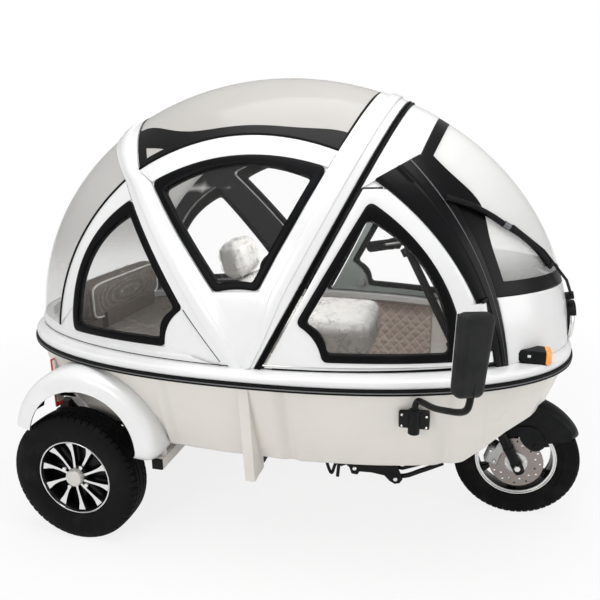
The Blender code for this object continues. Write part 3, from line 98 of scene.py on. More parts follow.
class Paint:
    """One material, built from nodes round a Principled shader."""

    def __init__(self, name, owner=None):
        if owner is None:
            owner = bpy.data.materials.new(name)
        owner.use_nodes = True
        self.owner = owner
        self.tree = owner.node_tree
        self.tree.nodes.clear()
        self.coords = None

    def fill(self, made, pairs):
        """Links or sets a node's sockets; a colour is given without its alpha."""
        for key, value in pairs:
            socket = made.inputs[key]
            if isinstance(value, Value):
                self.tree.links.new(value.socket, socket)
            elif socket.type == "RGBA":
                socket.default_value = (*value, 1)
            else:
                socket.default_value = value

    def node(self, kind, settings=None, *values, out=0, **named):
        """A node of that kind: settings first, then its sockets in order or by name."""
        made = self.tree.nodes.new(kind)
        for key, setting in (settings or {}).items():
            setattr(made, key, setting)
        self.fill(made, enumerate(values))
        self.fill(made, [(key.replace("_", " "), value) for key, value in named.items()])
        return Value(self, made.outputs[out]) if len(made.outputs) else None

    def place(self, axis=None):
        """Object coordinates, or one of them."""
        if self.coords is None:
            self.coords = self.node("ShaderNodeTexCoord", out="Object")
            self.parts = self.node("ShaderNodeSeparateXYZ", None, self.coords)
        if axis is None:
            return self.coords
        return Value(self, self.parts.socket.node.outputs[axis])

    def noise(self, scale, detail=3, rough=0.55):
        return self.node("ShaderNodeTexNoise", None, Vector=self.place(), Scale=scale, Detail=detail,
                         Roughness=rough)

    def mix(self, mask, low, high):
        """Colour low where mask is 0 and high where it is 1."""
        made = self.node("ShaderNodeMix", {"data_type": "RGBA"}).socket.node
        self.fill(made, ((0, mask), (6, low), (7, high)))
        return Value(self, made.outputs[2])

    def bump(self, height, distance, strength=1.0):
        return self.node("ShaderNodeBump", None, Height=height, Distance=distance, Strength=strength)

    def finish(self, **sockets):
        """Principled shader with these sockets, wired to the output."""
        self.node("ShaderNodeOutputMaterial", None, self.node("ShaderNodeBsdfPrincipled", None, **sockets))
        return self.owner

    def in_view(self, glossy):
        """1 where the camera looks, also through clear sheet, and the share glossy in mirrors."""
        camera_ray, glossy_ray, through_ray = [self.node("ShaderNodeLightPath", out=kind) for kind in
                                               ("Is Camera Ray", "Is Glossy Ray", "Is Transmission Ray")]
        return (camera_ray + through_ray).math("ADD", glossy_ray * glossy, clamp=True)


scene = bpy.context.scene
scene.view_settings.view_transform = "Standard"

CAMERA_AT = (0.587, -2.262, 1.416)
CAMERA_TURN = math.radians(14.19)       # towards the front of the vehicle
CAMERA_DIP = math.radians(14.37)
CAMERA_ROLL = math.radians(0.54)
CAMERA_LENS = 35.6
CAMERA_FILM = 36.0

camera_data = bpy.data.cameras.new("camera")
camera_data.lens = CAMERA_LENS
camera_data.sensor_width = CAMERA_FILM
camera = bpy.data.objects.new("camera", camera_data)
scene.collection.objects.link(camera)
camera.location = CAMERA_AT
camera.rotation_euler = (math.pi / 2 - CAMERA_DIP, CAMERA_ROLL, CAMERA_TURN)
scene.camera = camera

FLOOR_HALF = 30.0
floor_mesh = bpy.data.meshes.new("floor")
floor_mesh.from_pydata([(-FLOOR_HALF, -FLOOR_HALF, 0), (FLOOR_HALF, -FLOOR_HALF, 0),
                        (FLOOR_HALF, FLOOR_HALF, 0), (-FLOOR_HALF, FLOOR_HALF, 0)], [], [(0, 1, 2, 3)])
floor = bpy.data.objects.new("floor", floor_mesh)
scene.collection.objects.link(floor)

FLOOR_GLOW, FAR_GLOW = 0.82, 0.18       # glow under the wheels, and what comes on top far out
paint = Paint("floor")
far = paint.node("ShaderNodeVectorMath", {"operation": "LENGTH"}, paint.place(), out="Value").above(1.5, 3.4)
lit = paint.node("ShaderNodeBsdfDiffuse", None, (0.93, 0.93, 0.93))
glow = paint.node("ShaderNodeEmission", None, (1, 1, 1), 1.0)
paint.node("ShaderNodeOutputMaterial", None, paint.node(
    "ShaderNodeMixShader", None, paint.in_view(0.3) * (far * FAR_GLOW + FLOOR_GLOW), lit, glow))
floor_mesh.materials.append(paint.owner)

SKY_LIGHT, SKY_SEEN = 0.39, 1.0
world = bpy.data.worlds.new("studio")
scene.world = world
paint = Paint("studio", world)
paint.node("ShaderNodeOutputWorld", None, paint.node(
    "ShaderNodeBackground", None, (1, 1, 1), paint.in_view(0.10) * (SKY_SEEN - SKY_LIGHT) + SKY_LIGHT))

SOFT_BOXES = (
    # name, place, what it looks at, width, height, power
    ("roof_box", (0.2, -0.6, 4.2), (0.0, 0.0, 0.9), 3.4, 3.2, 108),
    ("near_box", (-1.4, -4.4, 2.2), (0.0, 0.0, 0.7), 1.9, 1.8, 57),
    ("front_box", (4.2, -1.2, 1.8), (0.4, 0.0, 0.8), 2.0, 2.4, 36),
)
for name, place, target, width, height, power in SOFT_BOXES:
    lamp_data = bpy.data.lights.new(name, "AREA")
    lamp_data.shape = "RECTANGLE"
    lamp_data.size, lamp_data.size_y = width, height
    lamp_data.energy = power
    lamp = bpy.data.objects.new(name, lamp_data)
    scene.collection.objects.link(lamp)
    lamp.location = place
    aim = Vector(target) - Vector(place)
    lamp.rotation_euler = aim.to_track_quat("-Z", "Y").to_euler()

fill_data = bpy.data.lights.new("cabin_fill", "POINT")
fill_data.energy = 10.0
fill_data.shadow_soft_size = 0.22
fill = bpy.data.objects.new("cabin_fill", fill_data)
scene.collection.objects.link(fill)
fill.location = (0.16, -0.05, 1.36)
fill.visible_camera = fill.visible_glossy = fill.visible_transmission = False


# ------------------------------------------------------------------ upper shell
# Two glass-fibre hoops cross the egg like a V, each with a raised rib between flat margins, and
# arcs run over the side windows.  The mouldings are bonded on one shell, flocked black inside.

SIDES = (("right", -1.0), ("left", 1.0))
EGG_MIDDLE = np.array((-0.045, 0.0, 0.700))
EGG_HALF = np.array((1.064, 0.570, 0.965))
SHELL_FOOT_Z = 0.7326
ROOF_STEPS, SIDE_STEPS = 72, 40         # points along a band: up to the roof's middle, and up one side
SEAM = ((-0.062, 0.60), (0.500, 1.72), -0.014)      # ends and bulge, in the side view
WHITE, WHITE_AGED = (0.86, 0.865, 0.86), (0.80, 0.805, 0.80)
FLOCK, FLOCK_WORN = (0.0060, 0.0065, 0.0080), (0.017, 0.0175, 0.020)


def bowed(start, end, bulge, t):
    """Points at shares t of a leg in the side view: a straight line plus a parabola
    4 t (1 - t) high by bulge, to the left of the way."""
    start, end, t = np.array(start), np.array(end), np.asarray(t, float)
    way = (end - start) / np.linalg.norm(end - start)
    left = np.array((-way[1], way[0]))
    return start + (end - start) * t[..., None] + left * (4 * bulge * t * (1 - t))[..., None]


def polyline(*points):
    """Straight legs through side-view points as a function of the share of their length; past its
    end the last leg runs on."""
    points = np.array(points, float)
    length = np.concatenate([[0], np.cumsum(np.linalg.norm(np.diff(points, axis=0), axis=1))])
    share = length / length[-1]

    def at(s):
        s = np.asarray(s, float)
        k = np.clip(np.searchsorted(share, s, side="right") - 1, 0, len(points) - 2)
        t = (s - share[k]) / (share[k + 1] - share[k])
        return points[k] + (points[k + 1] - points[k]) * t[..., None]
    return at


def from_height(start, end, bulge, height):
    """A bowed edge as a function of s that starts where the edge passes height."""
    t = np.linspace(0, 1, 400)
    first = np.interp(height, bowed(start, end, bulge, t)[:, 1], t)
    return lambda s: bowed(start, end, bulge, first + (1 - first) * s)


def beside(edge, distance):
    """An edge moved square to itself by distance, forwards if positive."""
    def moved(s):
        s = np.asarray(s, float)
        here, ahead = edge(s), edge(s + 1e-3)
        way = ahead - here
        way /= np.linalg.norm(way, axis=-1, keepdims=True)
        return here + np.stack([way[..., 1], -way[..., 0]], -1) * distance
    return moved


def on_egg(side_view, side, out):
    """Side-view points (x, z) carried sideways onto the ellipsoid, then moved out along its
    normal: y = side * b * sqrt(1 - (x/a)^2 - (z/c)^2)."""
    x = side_view[..., 0] - EGG_MIDDLE[0]
    z = side_view[..., 1] - EGG_MIDDLE[2]
    a, b, c = EGG_HALF
    y = side * b * np.sqrt(np.maximum(0.0, 1 - (x / a) ** 2 - (z / c) ** 2))
    on = np.stack(np.broadcast_arrays(x, y, z), -1)
    normal = on / EGG_HALF ** 2
    normal /= np.linalg.norm(normal, axis=-1, keepdims=True)
    return EGG_MIDDLE + on + normal * np.asarray(out, float)[..., None]


def columns(table):
    """Each column of a table as an upright array."""
    return [np.array(column, float)[:, None] for column in zip(*table)]


def grid_faces(rows, cols, wrap_rows=False, wrap_cols=False):
    """Quads of a grid of rows by cols points; wrapped ways close on themselves."""
    r = np.arange(rows if wrap_rows else rows - 1)[:, None]
    c = np.arange(cols if wrap_cols else cols - 1)[None, :]
    r2, c2 = (r + 1) % rows, (c + 1) % cols
    corners = [r * cols + c, r * cols + c2, r2 * cols + c2, r2 * cols + c]
    return np.stack([np.broadcast_to(k, (len(r), c.shape[1])) for k in corners], -1).reshape(-1, 4)


def piece(name, points, faces, material, body="body", replaces=(), middle=None, sharp=35):
    """A mesh object from whole arrays, riding on body.  Its faces are turned away from middle, by
    the sign of the sum of (centre of a triangle - middle) . normal * area; for a closed body middle
    is any point, and the mean of its own points is taken."""
    points = np.asarray(points, float).reshape(-1, 3)
    faces = [tuple(face) for face in faces]
    mesh = bpy.data.meshes.new(name)
    mesh.from_pydata(points.tolist(), [], faces)
    mesh.calc_loop_triangles()
    corner = np.empty(3 * len(mesh.loop_triangles), np.int32)
    mesh.loop_triangles.foreach_get("vertices", corner)
    a, b, c = points[corner.reshape(-1, 3).T]
    away = (a + b + c) / 3 - (points.mean(0) if middle is None else middle)
    if np.sum(np.cross(b - a, c - a) * away) < 0:
        mesh.clear_geometry()
        mesh.from_pydata(points.tolist(), [], [face[::-1] for face in faces])
    mesh.shade_smooth()
    mesh.set_sharp_from_angle(angle=math.radians(sharp))
    mesh.materials.append(material)
    obj = bpy.data.objects.new(name, mesh)
    scene.collection.objects.link(obj)
    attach(obj, body)
    if replaces:
        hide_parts(*replaces)
    return obj


def over_roof(name, front, rear, profile, material, replaces=()):
    """Band that runs up one side, over the roof and down the other.  front and rear give the
    side-view edges as functions of a share s that starts at 0; the band's top is where each line
    between them leaves the egg's outline, found by halving.  profile lists (share across, rise)."""
    across, rise = columns(profile)

    def line(s):
        return front(s) * (1 - across[..., None]) + rear(s) * across[..., None]

    low, high = np.zeros_like(across), np.ones_like(across)
    for _ in range(40):
        half = (low + high) / 2
        off = (line(half) - EGG_MIDDLE[[0, 2]]) / EGG_HALF[[0, 2]]
        inside = (off ** 2).sum(-1) < 1
        low, high = np.where(inside, half, low), np.where(inside, high, half)
    turn = np.linspace(-1, 1, 2 * ROOF_STEPS + 1)[None, :]
    side = np.where(turn < 0, -1.0, 1.0)
    points = on_egg(line(low * (1 - turn ** 2)), side, rise + 0 * turn)
    return piece(name, points, grid_faces(*points.shape[:2]), material, "body", replaces, EGG_MIDDLE)


def up_side(name, front, rear, profile, side, material, slot, body="body"):
    """The same band where it ends below the roof, on one side only."""
    across, rise = columns(profile)
    share = np.linspace(0, 1, SIDE_STEPS)[None, :]
    view = front(share) * (1 - across[..., None]) + rear(share) * across[..., None]
    points = on_egg(view, side, rise + 0 * share)
    return piece(name, points, grid_faces(*points.shape[:2]), material, body, (), EGG_MIDDLE)


def dress(material, *names):
    """Gives CAD nodes this finish instead of their plain one."""
    for name in names:
        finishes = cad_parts[name].data.materials
        finishes.clear()
        finishes.append(material)


def gelcoat_white(paint):
    """White that has gone a little grey in clouds."""
    return paint.mix(paint.noise(3.0, 4).above(0.35, 0.75), WHITE, WHITE_AGED)


def egg_share(paint):
    """Distance from the egg's middle as a share of its surface's: |(p - middle) / half|."""
    off = paint.node("ShaderNodeVectorMath", {"operation": "SUBTRACT"}, paint.place(), tuple(EGG_MIDDLE))
    off = paint.node("ShaderNodeVectorMath", {"operation": "DIVIDE"}, off, tuple(EGG_HALF))
    return paint.node("ShaderNodeVectorMath", {"operation": "LENGTH"}, off, out="Value")


paint = Paint("white_gelcoat")
peel = paint.noise(210.0, 2) * 0.4 + paint.noise(9.0, 2)
GELCOAT = paint.finish(Base_Color=gelcoat_white(paint), Roughness=paint.noise(14.0, 3) * 0.10 + 0.17,
                       Coat_Weight=0.4, Coat_Roughness=0.06, Normal=paint.bump(peel, 0.0008))
paint = Paint("lined_shell")            # gelcoat outside, flocked black inside
outside = egg_share(paint).above(0.962, 0.966)
LINED_SHELL = paint.finish(
    Base_Color=paint.mix(outside, paint.mix(paint.noise(260.0, 2), FLOCK, FLOCK_WORN), gelcoat_white(paint)),
    Roughness=outside * -0.62 + paint.noise(14.0, 3) * 0.10 + 0.80,
    Normal=paint.bump(paint.noise(260.0, 2) * (1 - outside), 0.0010))
dress(LINED_SHELL, "rear_shell", "roof_header", "nose_cowl")

# Profiles list (share across the band from its front or upper edge, rise over the egg).
HOOP_PROFILE = (
    (0, -0.006), (0.001, 0.0035), (0.03, 0.0055), (0.25, 0.0055), (0.27, 0.0062), (0.295, 0.0112),
    (0.32, 0.0120), (0.50, 0.0124), (0.60, 0.0120), (0.625, 0.0110), (0.655, 0.0048), (0.68, 0.0038),
    (0.95, 0.0036), (1, 0.0030))
BACK_PROFILE = (
    (0, 0.0030), (0.05, 0.0036), (0.32, 0.0038), (0.345, 0.0048), (0.375, 0.0110), (0.40, 0.0120),
    (0.50, 0.0124), (0.68, 0.0120), (0.705, 0.0112), (0.73, 0.0062), (0.75, 0.0055), (0.97, 0.0055),
    (0.999, 0.0045), (1, -0.006))
ARC_PROFILE = (
    (0, -0.006), (0.001, 0.0022), (0.12, 0.0034), (0.30, 0.0060), (0.45, 0.0034), (0.9, 0.0030),
    (0.999, 0.0022), (1, -0.006))
SILL_PROFILE = (
    (0, -0.004), (0.001, 0.0040), (0.20, 0.0070), (0.50, 0.0074), (0.60, 0.0022), (0.999, 0.0016),
    (1, -0.004))
PLAIN_PROFILE = ((0, -0.004), (0.001, 0.0014), (0.5, 0.0018), (0.999, 0.0014), (1, -0.004))
SUNKEN_PROFILE = ((0, 0.0030), (1, 0.0030))

SEAM_EDGE = from_height(*SEAM, SHELL_FOOT_Z)
BACK_FOOT = (-0.107, SHELL_FOOT_Z)
over_roof("slanted_hoop", beside(SEAM_EDGE, -0.0108),
          polyline((-0.045, SHELL_FOOT_Z), (-0.012, 0.805), (0.0145, 0.978), (0.2085, 1.358), (0.232, 1.405),
                   (0.300, 1.537), (0.375, 1.72)), HOOP_PROFILE, GELCOAT)
over_roof("back_hoop",
          polyline((0.000, SHELL_FOOT_Z), (-0.030, 0.800), (-0.1375, 0.969), (-0.4055, 1.3075),
                   (-0.470, 1.345), (-0.640, 1.660)),
          polyline(BACK_FOOT, (-0.2435, 0.908), (-0.4775, 1.2525), (-0.520, 1.310), (-0.800, 1.580)),
          BACK_PROFILE, GELCOAT)
over_roof("rear_sill", polyline(BACK_FOOT, (-1.300, SHELL_FOOT_Z)),
          polyline((-0.300, 0.7775), (-0.835, 0.7725), (-1.300, 0.7725)), SILL_PROFILE, GELCOAT)
SIDE_BANDS = (
    # name, the two edges, profile
    ("centre_arc", lambda s: bowed((-0.470, 1.345), (0.232, 1.405), 0.080, s),
     lambda s: bowed((-0.402, 1.309), (0.205, 1.356), 0.062, s), ARC_PROFILE),
    ("quarter_arc", lambda s: bowed((-0.835, 0.770), (-0.520, 1.310), 0.060, s),
     lambda s: bowed((-0.744, 0.860), (-0.481, 1.251), 0.060, s), ARC_PROFILE),
    ("v_panel", polyline((-0.016, 0.770), (0.0185, 0.980)),
     polyline((-0.026, 0.768), (-0.1415, 0.971)), SUNKEN_PROFILE),
    ("quarter_panel", polyline(BACK_FOOT, (-0.2435, 0.908)),
     lambda s: bowed((-0.317, 0.7765), (-0.247, 0.910), 0.022, s), PLAIN_PROFILE),
    ("quarter_foot", polyline((-0.842, 0.765), (-0.835, 0.775), (-0.744, 0.860)),
     polyline((-0.740, 0.7665), (-0.742, 0.769), (-0.7435, 0.860)), PLAIN_PROFILE))
for band, first, second, profile in SIDE_BANDS:
    for name, side in SIDES:
        up_side(f"{band}_{name}", first, second, profile, side, GELCOAT, "shell_gelcoat")

# ------------------------------------------------------------------ seam and roof header
# The shell is made in two halves that meet on the slanted hoop's front edge.  A rubber
# section with two ridges closes the joint; ahead of it a plain white header carries the glass.

INK = (0.0035, 0.0035, 0.0042)
paint = Paint("black_rubber")
dust = paint.noise(5.0, 4).above(0.5, 0.8)
RUBBER = paint.finish(Base_Color=paint.mix(dust, INK, (0.009, 0.0095, 0.011)), Roughness=dust * 0.2 + 0.40,
                      Specular_IOR_Level=0.08, Normal=paint.bump(paint.noise(400.0, 2), 0.0003))
SEAM_PROFILE = (
    (0, -0.006), (0.02, 0.0030), (0.10, 0.0072), (0.22, 0.0086), (0.36, 0.0070), (0.44, 0.0020),
    (0.56, 0.0020), (0.64, 0.0070), (0.78, 0.0086), (0.90, 0.0072), (0.98, 0.0030), (1, -0.006))
HEADER_PROFILE = (
    (0, -0.004), (0.001, 0.0015), (0.04, 0.0026), (0.5, 0.0032), (0.96, 0.0026), (0.999, 0.0015),
    (1, -0.004))
over_roof("hoop_seal_rubber", beside(SEAM_EDGE, 0.0100), beside(SEAM_EDGE, -0.0100), SEAM_PROFILE, RUBBER,
          ("hoop_seal",))
over_roof("roof_header_skin", polyline((0.482, 1.392), (0.592, 1.682)),
          beside(from_height(*SEAM, 1.297), 0.0106), HEADER_PROFILE, GELCOAT)

# ------------------------------------------------------------------ bent glazing
# Skylight, rear window and windscreen are blown acrylic sheets, bonded at their edges.  The roof
# sheet is smoked; it and the windscreen have a printed black border.

PRINT_WIDTH = 0.055
EDGE_STEPS = np.linspace(0, 1, 400)


def dome(name, edge, way, material, replaces=(), rows=40, steps=60, out=0.001, border=None):
    """Sheet that leaves a side-view edge along the directions way(p) on both sides and meets
    itself on the middle plane: s from 0 at the edge to the egg's outline, a quadratic's root.
    border turns the distances from the side, foot and top into the UV value that is printed."""
    p = np.linspace(0, 1, rows)[:, None]
    start, direction = edge(p[:, 0])[:, None], way(p[:, 0])[:, None]
    half, middle = EGG_HALF[[0, 2]], EGG_MIDDLE[[0, 2]]
    o, d = (start - middle) / half, direction / half
    a, b, c = (d * d).sum(-1), (o * d).sum(-1), (o * o).sum(-1) - 1
    top = (-b + np.sqrt(np.maximum(b * b - a * c, 0))) / a
    turn = np.linspace(-1, 1, 2 * steps + 1)[None, :]
    view = start + direction * (top * (1 - turn ** 2))[..., None]
    points = on_egg(view, np.where(turn < 0, -1.0, 1.0), out + 0 * turn * p)
    obj = piece(name, points, grid_faces(*points.shape[:2]), material, "body", replaces, EGG_MIDDLE)
    if border:
        across = np.linalg.norm(np.diff(points, axis=1), axis=-1)
        gone = np.concatenate([np.zeros((rows, 1)), np.cumsum(across, 1)], 1)
        up = np.linalg.norm(np.diff(points, axis=0), axis=-1)
        risen = np.concatenate([np.zeros((1, up.shape[1])), np.cumsum(up, 0)], 0)
        inside = border(np.minimum(gone, gone[:, -1:] - gone), risen, risen[-1:] - risen).reshape(-1)
        corner = np.zeros(len(obj.data.loops), np.int32)
        obj.data.loops.foreach_get("vertex_index", corner)
        uv = np.stack([inside[corner], 0 * inside[corner]], -1).astype(np.float32)
        obj.data.uv_layers.new(name="border").data.foreach_set("uv", uv.ravel())
    return obj


def thicken(obj, thickness):
    """A wall of this thickness, inwards."""
    wall = obj.modifiers.new("wall", "SOLIDIFY")
    wall.thickness = thickness
    wall.offset = -1.0


def circle(radius, sides=14):
    turn = np.linspace(0, 2 * np.pi, sides, endpoint=False)
    return np.stack([radius * np.cos(turn), radius * np.sin(turn)], -1)


def caps(rows, cols):
    """The two end faces of a tube of rows rings."""
    return [list(range(cols))[::-1], list(range((rows - 1) * cols, rows * cols))]


def swept(name, path, section, material, body="body", up=(0, 0, 1), loop=False):
    """Closed section of (across, over) carried along path and standing by up; flat ends unless
    the path is a loop.  A section for each point may be given."""
    path = np.asarray(path, float)
    way = np.roll(path, -1, 0) - np.roll(path, 1, 0) if loop else np.gradient(path, axis=0)
    way /= np.linalg.norm(way, axis=1, keepdims=True)
    across = np.cross(way, up)
    across /= np.linalg.norm(across, axis=1, keepdims=True)
    over = np.cross(across, way)
    section = np.broadcast_to(np.asarray(section, float), (len(path), *np.shape(section)[-2:]))
    points = path[:, None] + across[:, None] * section[..., :1] + over[:, None] * section[..., 1:]
    rows, cols = points.shape[:2]
    faces = grid_faces(rows, cols, loop, True).tolist() + ([] if loop else caps(rows, cols))
    piece(name, points, faces, material, body)


def rounded(first, second, radius):
    """Distance inside two borders at once, with their corner rounded by radius."""
    a, b = radius - first, radius - second
    return np.where((a > 0) & (b > 0), radius - np.hypot(a, b), np.minimum(first, second))


def glazing(name, colour, alpha, border=None, rough=0.03, clear_foot=None, gloss=0.4):
    """Thin clear sheet: a tinted Principled surface at this alpha; where the border's UV value is
    under its width it is printed black.  clear_foot gives two heights: clearer below the first."""
    paint = Paint(name)
    haze = paint.noise(2.2, 4).above(0.40, 0.85)
    clear = paint.mix(haze, colour, tuple(0.9 * c for c in colour))
    see = haze * (alpha * 0.12) + alpha * 0.94
    if clear_foot:
        see = see * (paint.place(2).above(*clear_foot) * 0.65 + 0.35)
    if border:
        uv = paint.node("ShaderNodeSeparateXYZ", None, paint.node("ShaderNodeUVMap", {"uv_map": "border"}))
        printed = uv.above(border + 0.0006, border - 0.0006)
        clear = paint.mix(printed, clear, INK)
        see = printed * (1 - see) + see
        rough = printed * 0.30 + rough
    return paint.finish(Base_Color=clear, Roughness=rough, Alpha=see, Specular_IOR_Level=gloss)


def bend(first, last):
    """Directions at shares of an edge, turned evenly from the first to the last."""
    ways = np.array((first, last), float)
    ways /= np.linalg.norm(ways, axis=1, keepdims=True)
    return lambda p: ways[0] * (1 - p[:, None]) + ways[1] * p[:, None]


def sky_border(side, rear, front):
    """Dark edge of the roof glass: a wide loop round a clear triangle in the rear corner, a
    narrower one in front; each adds height exp(-(distance / reach)^2) to the edge's width."""
    wide = 0.165 * np.exp(-(rear / 0.15) ** 2) + 0.040 * np.exp(-(front / 0.12) ** 2)
    spot = np.minimum(np.minimum(side - 0.040, rear - 0.032), 0.125 - side - 0.75 * rear)
    edge = np.minimum(side - wide, np.minimum(rear, front) + 0.048)
    return np.where(spot > 0, PRINT_WIDTH + spot, edge)


def above_height(edge, z, end=0.0):
    """A bowed edge that falls towards its end, as a function of a share s that starts where it
    passes z and stops at share end of the whole."""
    foot = np.interp(-z, -bowed(*edge, EDGE_STEPS)[:, 1], EDGE_STEPS)
    return lambda s: bowed(*edge, foot + (end - foot) * np.asarray(s, float))


SCREEN_SIDE = ((0.480, 1.390), (0.790, 0.700), 0.062)   # the edge that lies along the pillar
SCREEN_FOOT_Z = 0.952


def screen_border(side, foot, top):
    """Inside distance, less where the print is wider: half way up beside the pillar."""
    wide = 0.042 * np.exp(-((foot - 0.33) / 0.11) ** 2)
    return rounded(rounded(side + 0.006 - wide, foot - 0.002, 0.055), top + 0.006, 0.030)


SKY_GLASS = glazing("smoked_acrylic", (0.56, 0.545, 0.518), 0.84, border=PRINT_WIDTH, rough=0.14, gloss=0.2)
REAR_GLASS = glazing("rear_acrylic", (0.66, 0.65, 0.63), 0.62, clear_foot=(0.86, 1.16))
SCREEN_GLASS = glazing("windscreen_glass", (0.86, 0.86, 0.845), 0.66, border=0.050, clear_foot=(1.00, 1.14),
                       gloss=0.14)
thicken(dome("skylight_sheet", lambda p: bowed((-0.462, 1.338), (0.226, 1.392), 0.080, p),
             bend((-0.170, 0.315), (0.150, 0.315)), SKY_GLASS, ("skylight",), rows=110,
             steps=110, border=sky_border), 0.004)
thicken(dome("rear_sheet", lambda p: bowed((-0.835, 0.765), (-0.515, 1.315), 0.060, p),
             bend((-1, 0), (-0.280, 0.270)), REAR_GLASS, ("rear_window",)), 0.004)
thicken(dome("windscreen_sheet", above_height(SCREEN_SIDE, SCREEN_FOOT_Z), bend((1, 0), (0.110, 0.290)),
             SCREEN_GLASS, ("windscreen",), rows=90, steps=90, border=screen_border), 0.005)

SEAL_LINES = (
    # name, ends in the side view, bulge, half width, rise: seals along the glass, dark joints of the
    # moulding beside the hoop and over the flange, and the strip that the door shuts on
    ("skylight_seal", (-0.468, 1.349), (0.232, 1.407), 0.080, 0.0042, 0.0035),
    ("rear_seal", (-0.8375, 0.772), (-0.5225, 1.312), 0.060, 0.0042, 0.0035),
    ("hoop_joint", (-0.113, 0.748), (-0.2435, 0.908), 0.0, 0.0017, 0.0048),
    ("sill_joint", (-0.085, 0.7376), (-1.000, 0.7376), 0.0, 0.0016, 0.0056),
    ("door_joint", (0.060, 0.7372), (0.700, 0.7372), 0.0, 0.0030, 0.0010))
SEAL_THICK = 0.0030
for name, start, end, bulge, half, out in SEAL_LINES:
    for hand, side in SIDES:
        path = on_egg(bowed(start, end, bulge, np.linspace(0, 1, 60)), side, np.full(60, out))
        swept(f"{name}_{hand}", path, circle(1.0, 10) * (half, min(half, SEAL_THICK)), RUBBER,
              up=(0, 1, 0.4 * side))

# ------------------------------------------------------------------ side windows
# Flat acrylic panes pushed into a thick black rubber section with rounded corners; the
# section stands a little proud of the shell.

CENTRE_WINDOW = (
    # corner in the side view, bulge of the leg that follows it
    ((-0.402, 1.309), 0.062), ((0.205, 1.356), 0.0), ((0.010, 0.981), -0.008), ((-0.134, 0.971), 0.0))
QUARTER_WINDOW = (
    ((-0.481, 1.251), 0.0), ((-0.247, 0.910), -0.022), ((-0.317, 0.778), 0.0), ((-0.742, 0.770), 0.004),
    ((-0.744, 0.860), 0.060))
DOOR_WINDOW = (
    ((0.340, 1.256), 0.070), ((0.655, 0.760), 0.0), ((0.218, 0.765), -0.020), ((0.133, 0.884), 0.0))
RIM_WIDTH = 0.027
PANE_OVERLAP = 0.004
PANE_RADIUS = 0.016         # of the rubber's inner corners
RIM_PROFILE = (             # share from the outer to the inner line, rise over the egg
    (0, -0.020), (0.001, 0.0030), (0.10, 0.0056), (0.25, 0.0064), (0.75, 0.0060), (0.90, 0.0048),
    (0.999, 0.0020), (1, -0.020))


def window_line(corners, inset=0.0, radius=0.022, per_leg=22):
    """Closed outline: corners set in, joined by bowed legs and rounded by quadratic curves."""
    spot = np.array([c for c, _ in corners])
    bulge = [b for _, b in corners]
    count = len(spot)
    way = np.roll(spot, -1, 0) - spot
    way /= np.linalg.norm(way, axis=1, keepdims=True)
    square = np.stack([way[:, 1], -way[:, 0]], -1)
    both = square + np.roll(square, 1, 0)
    both /= np.linalg.norm(both, axis=1, keepdims=True)
    spot = spot + both * (inset / np.maximum(0.35, (both * square).sum(1)))[:, None]
    length = np.linalg.norm(np.roll(spot, -1, 0) - spot, axis=1)
    legs = [bowed(spot[i], spot[(i + 1) % count], bulge[i], np.linspace(0, 1, 200)) for i in range(count)]
    cut = []
    for i in range(count):
        a, b = legs[i - 1][-2] - spot[i], legs[i][1] - spot[i]
        angle = math.acos(np.clip(a @ b / np.linalg.norm(a) / np.linalg.norm(b), -1, 1))
        cut.append(min(radius / math.tan(angle / 2), 0.4 * min(length[i - 1], length[i])))
    line = []
    for i in range(count):
        j, after = (i + 1) % count, (i + 2) % count
        shares = np.linspace(cut[i] / length[i], 1 - cut[j] / length[i], per_leg)
        kept = bowed(spot[i], spot[j], bulge[i], shares)
        follow = bowed(spot[j], spot[after], bulge[j], np.array([cut[j] / length[j]]))
        k = (np.arange(1, 8) / 8)[:, None]
        line += [kept, kept[-1] * (1 - k) ** 2 + spot[j] * 2 * k * (1 - k) + follow * k * k]
    return np.concatenate(line)


def ring(name, outer, inner, profile, side, material, body, replaces=()):
    """Band between two closed side-view lines with matching points, with its profile across."""
    across, rise = columns(profile)
    view = outer[None] * (1 - across[..., None]) + inner[None] * across[..., None]
    points = on_egg(view, side, rise + 0 * outer[None, :, 0])
    faces = grid_faces(*points.shape[:2], wrap_cols=True)
    return piece(name, points, faces, material, body, replaces, EGG_MIDDLE)


def filled(name, line, side, out, material, body):
    """Pane inside a closed line: rings that shrink on its middle, closed by a fan."""
    centre = line.mean(0)
    share = np.linspace(1, 0.04, 14)[:, None, None]
    view = np.concatenate([(centre + (line[None] - centre) * share).reshape(-1, 2), centre[None]])
    points = on_egg(view, side, np.full(len(view), out))
    rows, cols = len(share), len(line)
    last = (rows - 1) * cols + np.arange(cols)
    fan = np.stack([last, np.roll(last, -1), np.full(cols, rows * cols)], -1)
    faces = grid_faces(rows, cols, wrap_cols=True).tolist() + fan.tolist()
    return piece(name, points, faces, material, body, (), EGG_MIDDLE)


PANE = glazing("window_acrylic", (0.62, 0.62, 0.60), 0.020, gloss=0.22)
for stem, corners, carrier in (("centre_window", CENTRE_WINDOW, "body"),
                               ("quarter_window", QUARTER_WINDOW, "body"),
                               ("door_window", DOOR_WINDOW, "door_")):
    outer, inner = window_line(corners, 0.0004), window_line(corners, RIM_WIDTH, PANE_RADIUS)
    glass = window_line(corners, RIM_WIDTH - PANE_OVERLAP, PANE_RADIUS)
    for name, side in SIDES:
        node = f"{stem}_{name}"
        body = carrier + name if carrier == "door_" else carrier
        ring(node + "_rubber", outer, inner, RIM_PROFILE, side, RUBBER, body, (node,))
        thicken(filled(node + "_pane", glass, side, -0.006, PANE, body), 0.004)

# ------------------------------------------------------------------ doors and nose
# Each door is a moulded white frame round its window with a rolled edge and a grey inner
# face.  Under it a seal line and a pale sill strip show.  The nose is one white panel.

